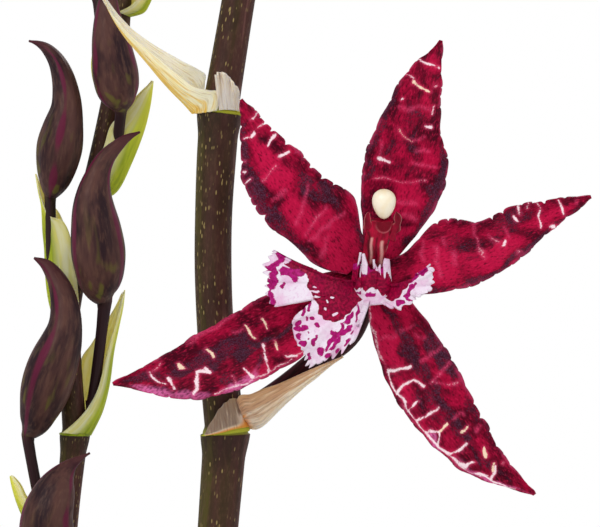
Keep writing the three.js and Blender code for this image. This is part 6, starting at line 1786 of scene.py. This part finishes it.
def cut(piece, surface):
    """Takes a closed surface out of a piece with a Boolean, keeps the result as its mesh, and throws the tool away."""
    points, quads, triangles, _ = surface
    tool_mesh = bpy.data.meshes.new("cutter")
    tool_mesh.from_pydata((points * MM).tolist(), [], quads.tolist() + triangles.tolist())
    tool = bpy.data.objects.new("cutter", tool_mesh)
    bpy.context.scene.collection.objects.link(tool)
    step = piece.modifiers.new("holes", "BOOLEAN")
    step.object, step.operation, step.solver = tool, "DIFFERENCE", "EXACT"
    ready = piece.evaluated_get(bpy.context.evaluated_depsgraph_get())
    whole = bpy.data.meshes.new_from_object(ready)
    piece.modifiers.clear()
    piece.data = whole
    bpy.data.objects.remove(tool)
    bpy.data.meshes.remove(tool_mesh)
    print(piece.name, "has", len(whole.polygons), "faces after the cut")


clay_skin = Finish("clay_skin", Roughness=0.9, Specular_IOR_Level=0.2)
grain = clay_skin.noise(clay_skin.place((900, 900, 900)), detail=4)
rings_of_clay = clay_skin.noise(clay_skin.place((14, 14, 420)), detail=3)
cloud = clay_skin.noise(clay_skin.place((32, 32, 22)), detail=4)
lime = clay_skin.noise(clay_skin.place((75, 75, 55)), detail=5, roughness=0.65)
skin = clay_skin.mix(clay_skin.steps(cloud, 0.36, 0.64), "#a9583a", "#c27a58")
skin = clay_skin.mix(clay_skin.steps(rings_of_clay, 0.5, 0.72, 0, 0.4), skin, "#8f4a31")
skin = clay_skin.mix(clay_skin.steps(grain, 0.56, 0.72, 0, 0.5), skin, "#d49a78")
bloom_of_lime = clay_skin.math("MULTIPLY", clay_skin.steps(lime, 0.54, 0.72, 0, 0.6), clay_skin.steps(clay_skin.mark("up"), 0.95, 0.2))
skin = clay_skin.mix(bloom_of_lime, skin, "#e0cdbb")
skin = clay_skin.mix(clay_skin.math("MULTIPLY", clay_skin.mark("wear"), clay_skin.steps(grain, 0.4, 0.6, 0.1, 0.7)), skin, "#dba98a")
clay_skin.paint(skin, clay_skin.steps(grain, 0.3, 0.7, 0.95, 0.78), clay_skin.bump(clay_skin.math("ADD", grain, rings_of_clay), 0.35, 0.7))
pot = make("clay_pot", pot_wall(), clay_skin, ["pot"])
cut(pot, drains())

# %% [markdown]
# ## The ground
# A plain pale disc stands for the studio table. It isn't part of the object.

# %% The ground and the end
GROUND_RADIUS = 0.9
angle = np.linspace(0, TURN, 96, endpoint=False)
rim = np.stack([GROUND_RADIUS * np.cos(angle), GROUND_RADIUS * np.sin(angle), np.full(96, -0.0005)], -1)
ground_mesh = bpy.data.meshes.new("ground")
ground_mesh.from_pydata(rim.tolist(), [], [list(range(96))])
table = Finish("pale_ground", Roughness=0.8)
mist = table.noise(table.place((3, 3, 3)), detail=2)
table.paint(table.mix(mist, "#eeeeec", "#f4f4f2"))
ground_mesh.materials.append(table.material)
ground = bpy.data.objects.new("ground", ground_mesh)
bpy.context.scene.collection.objects.link(ground)
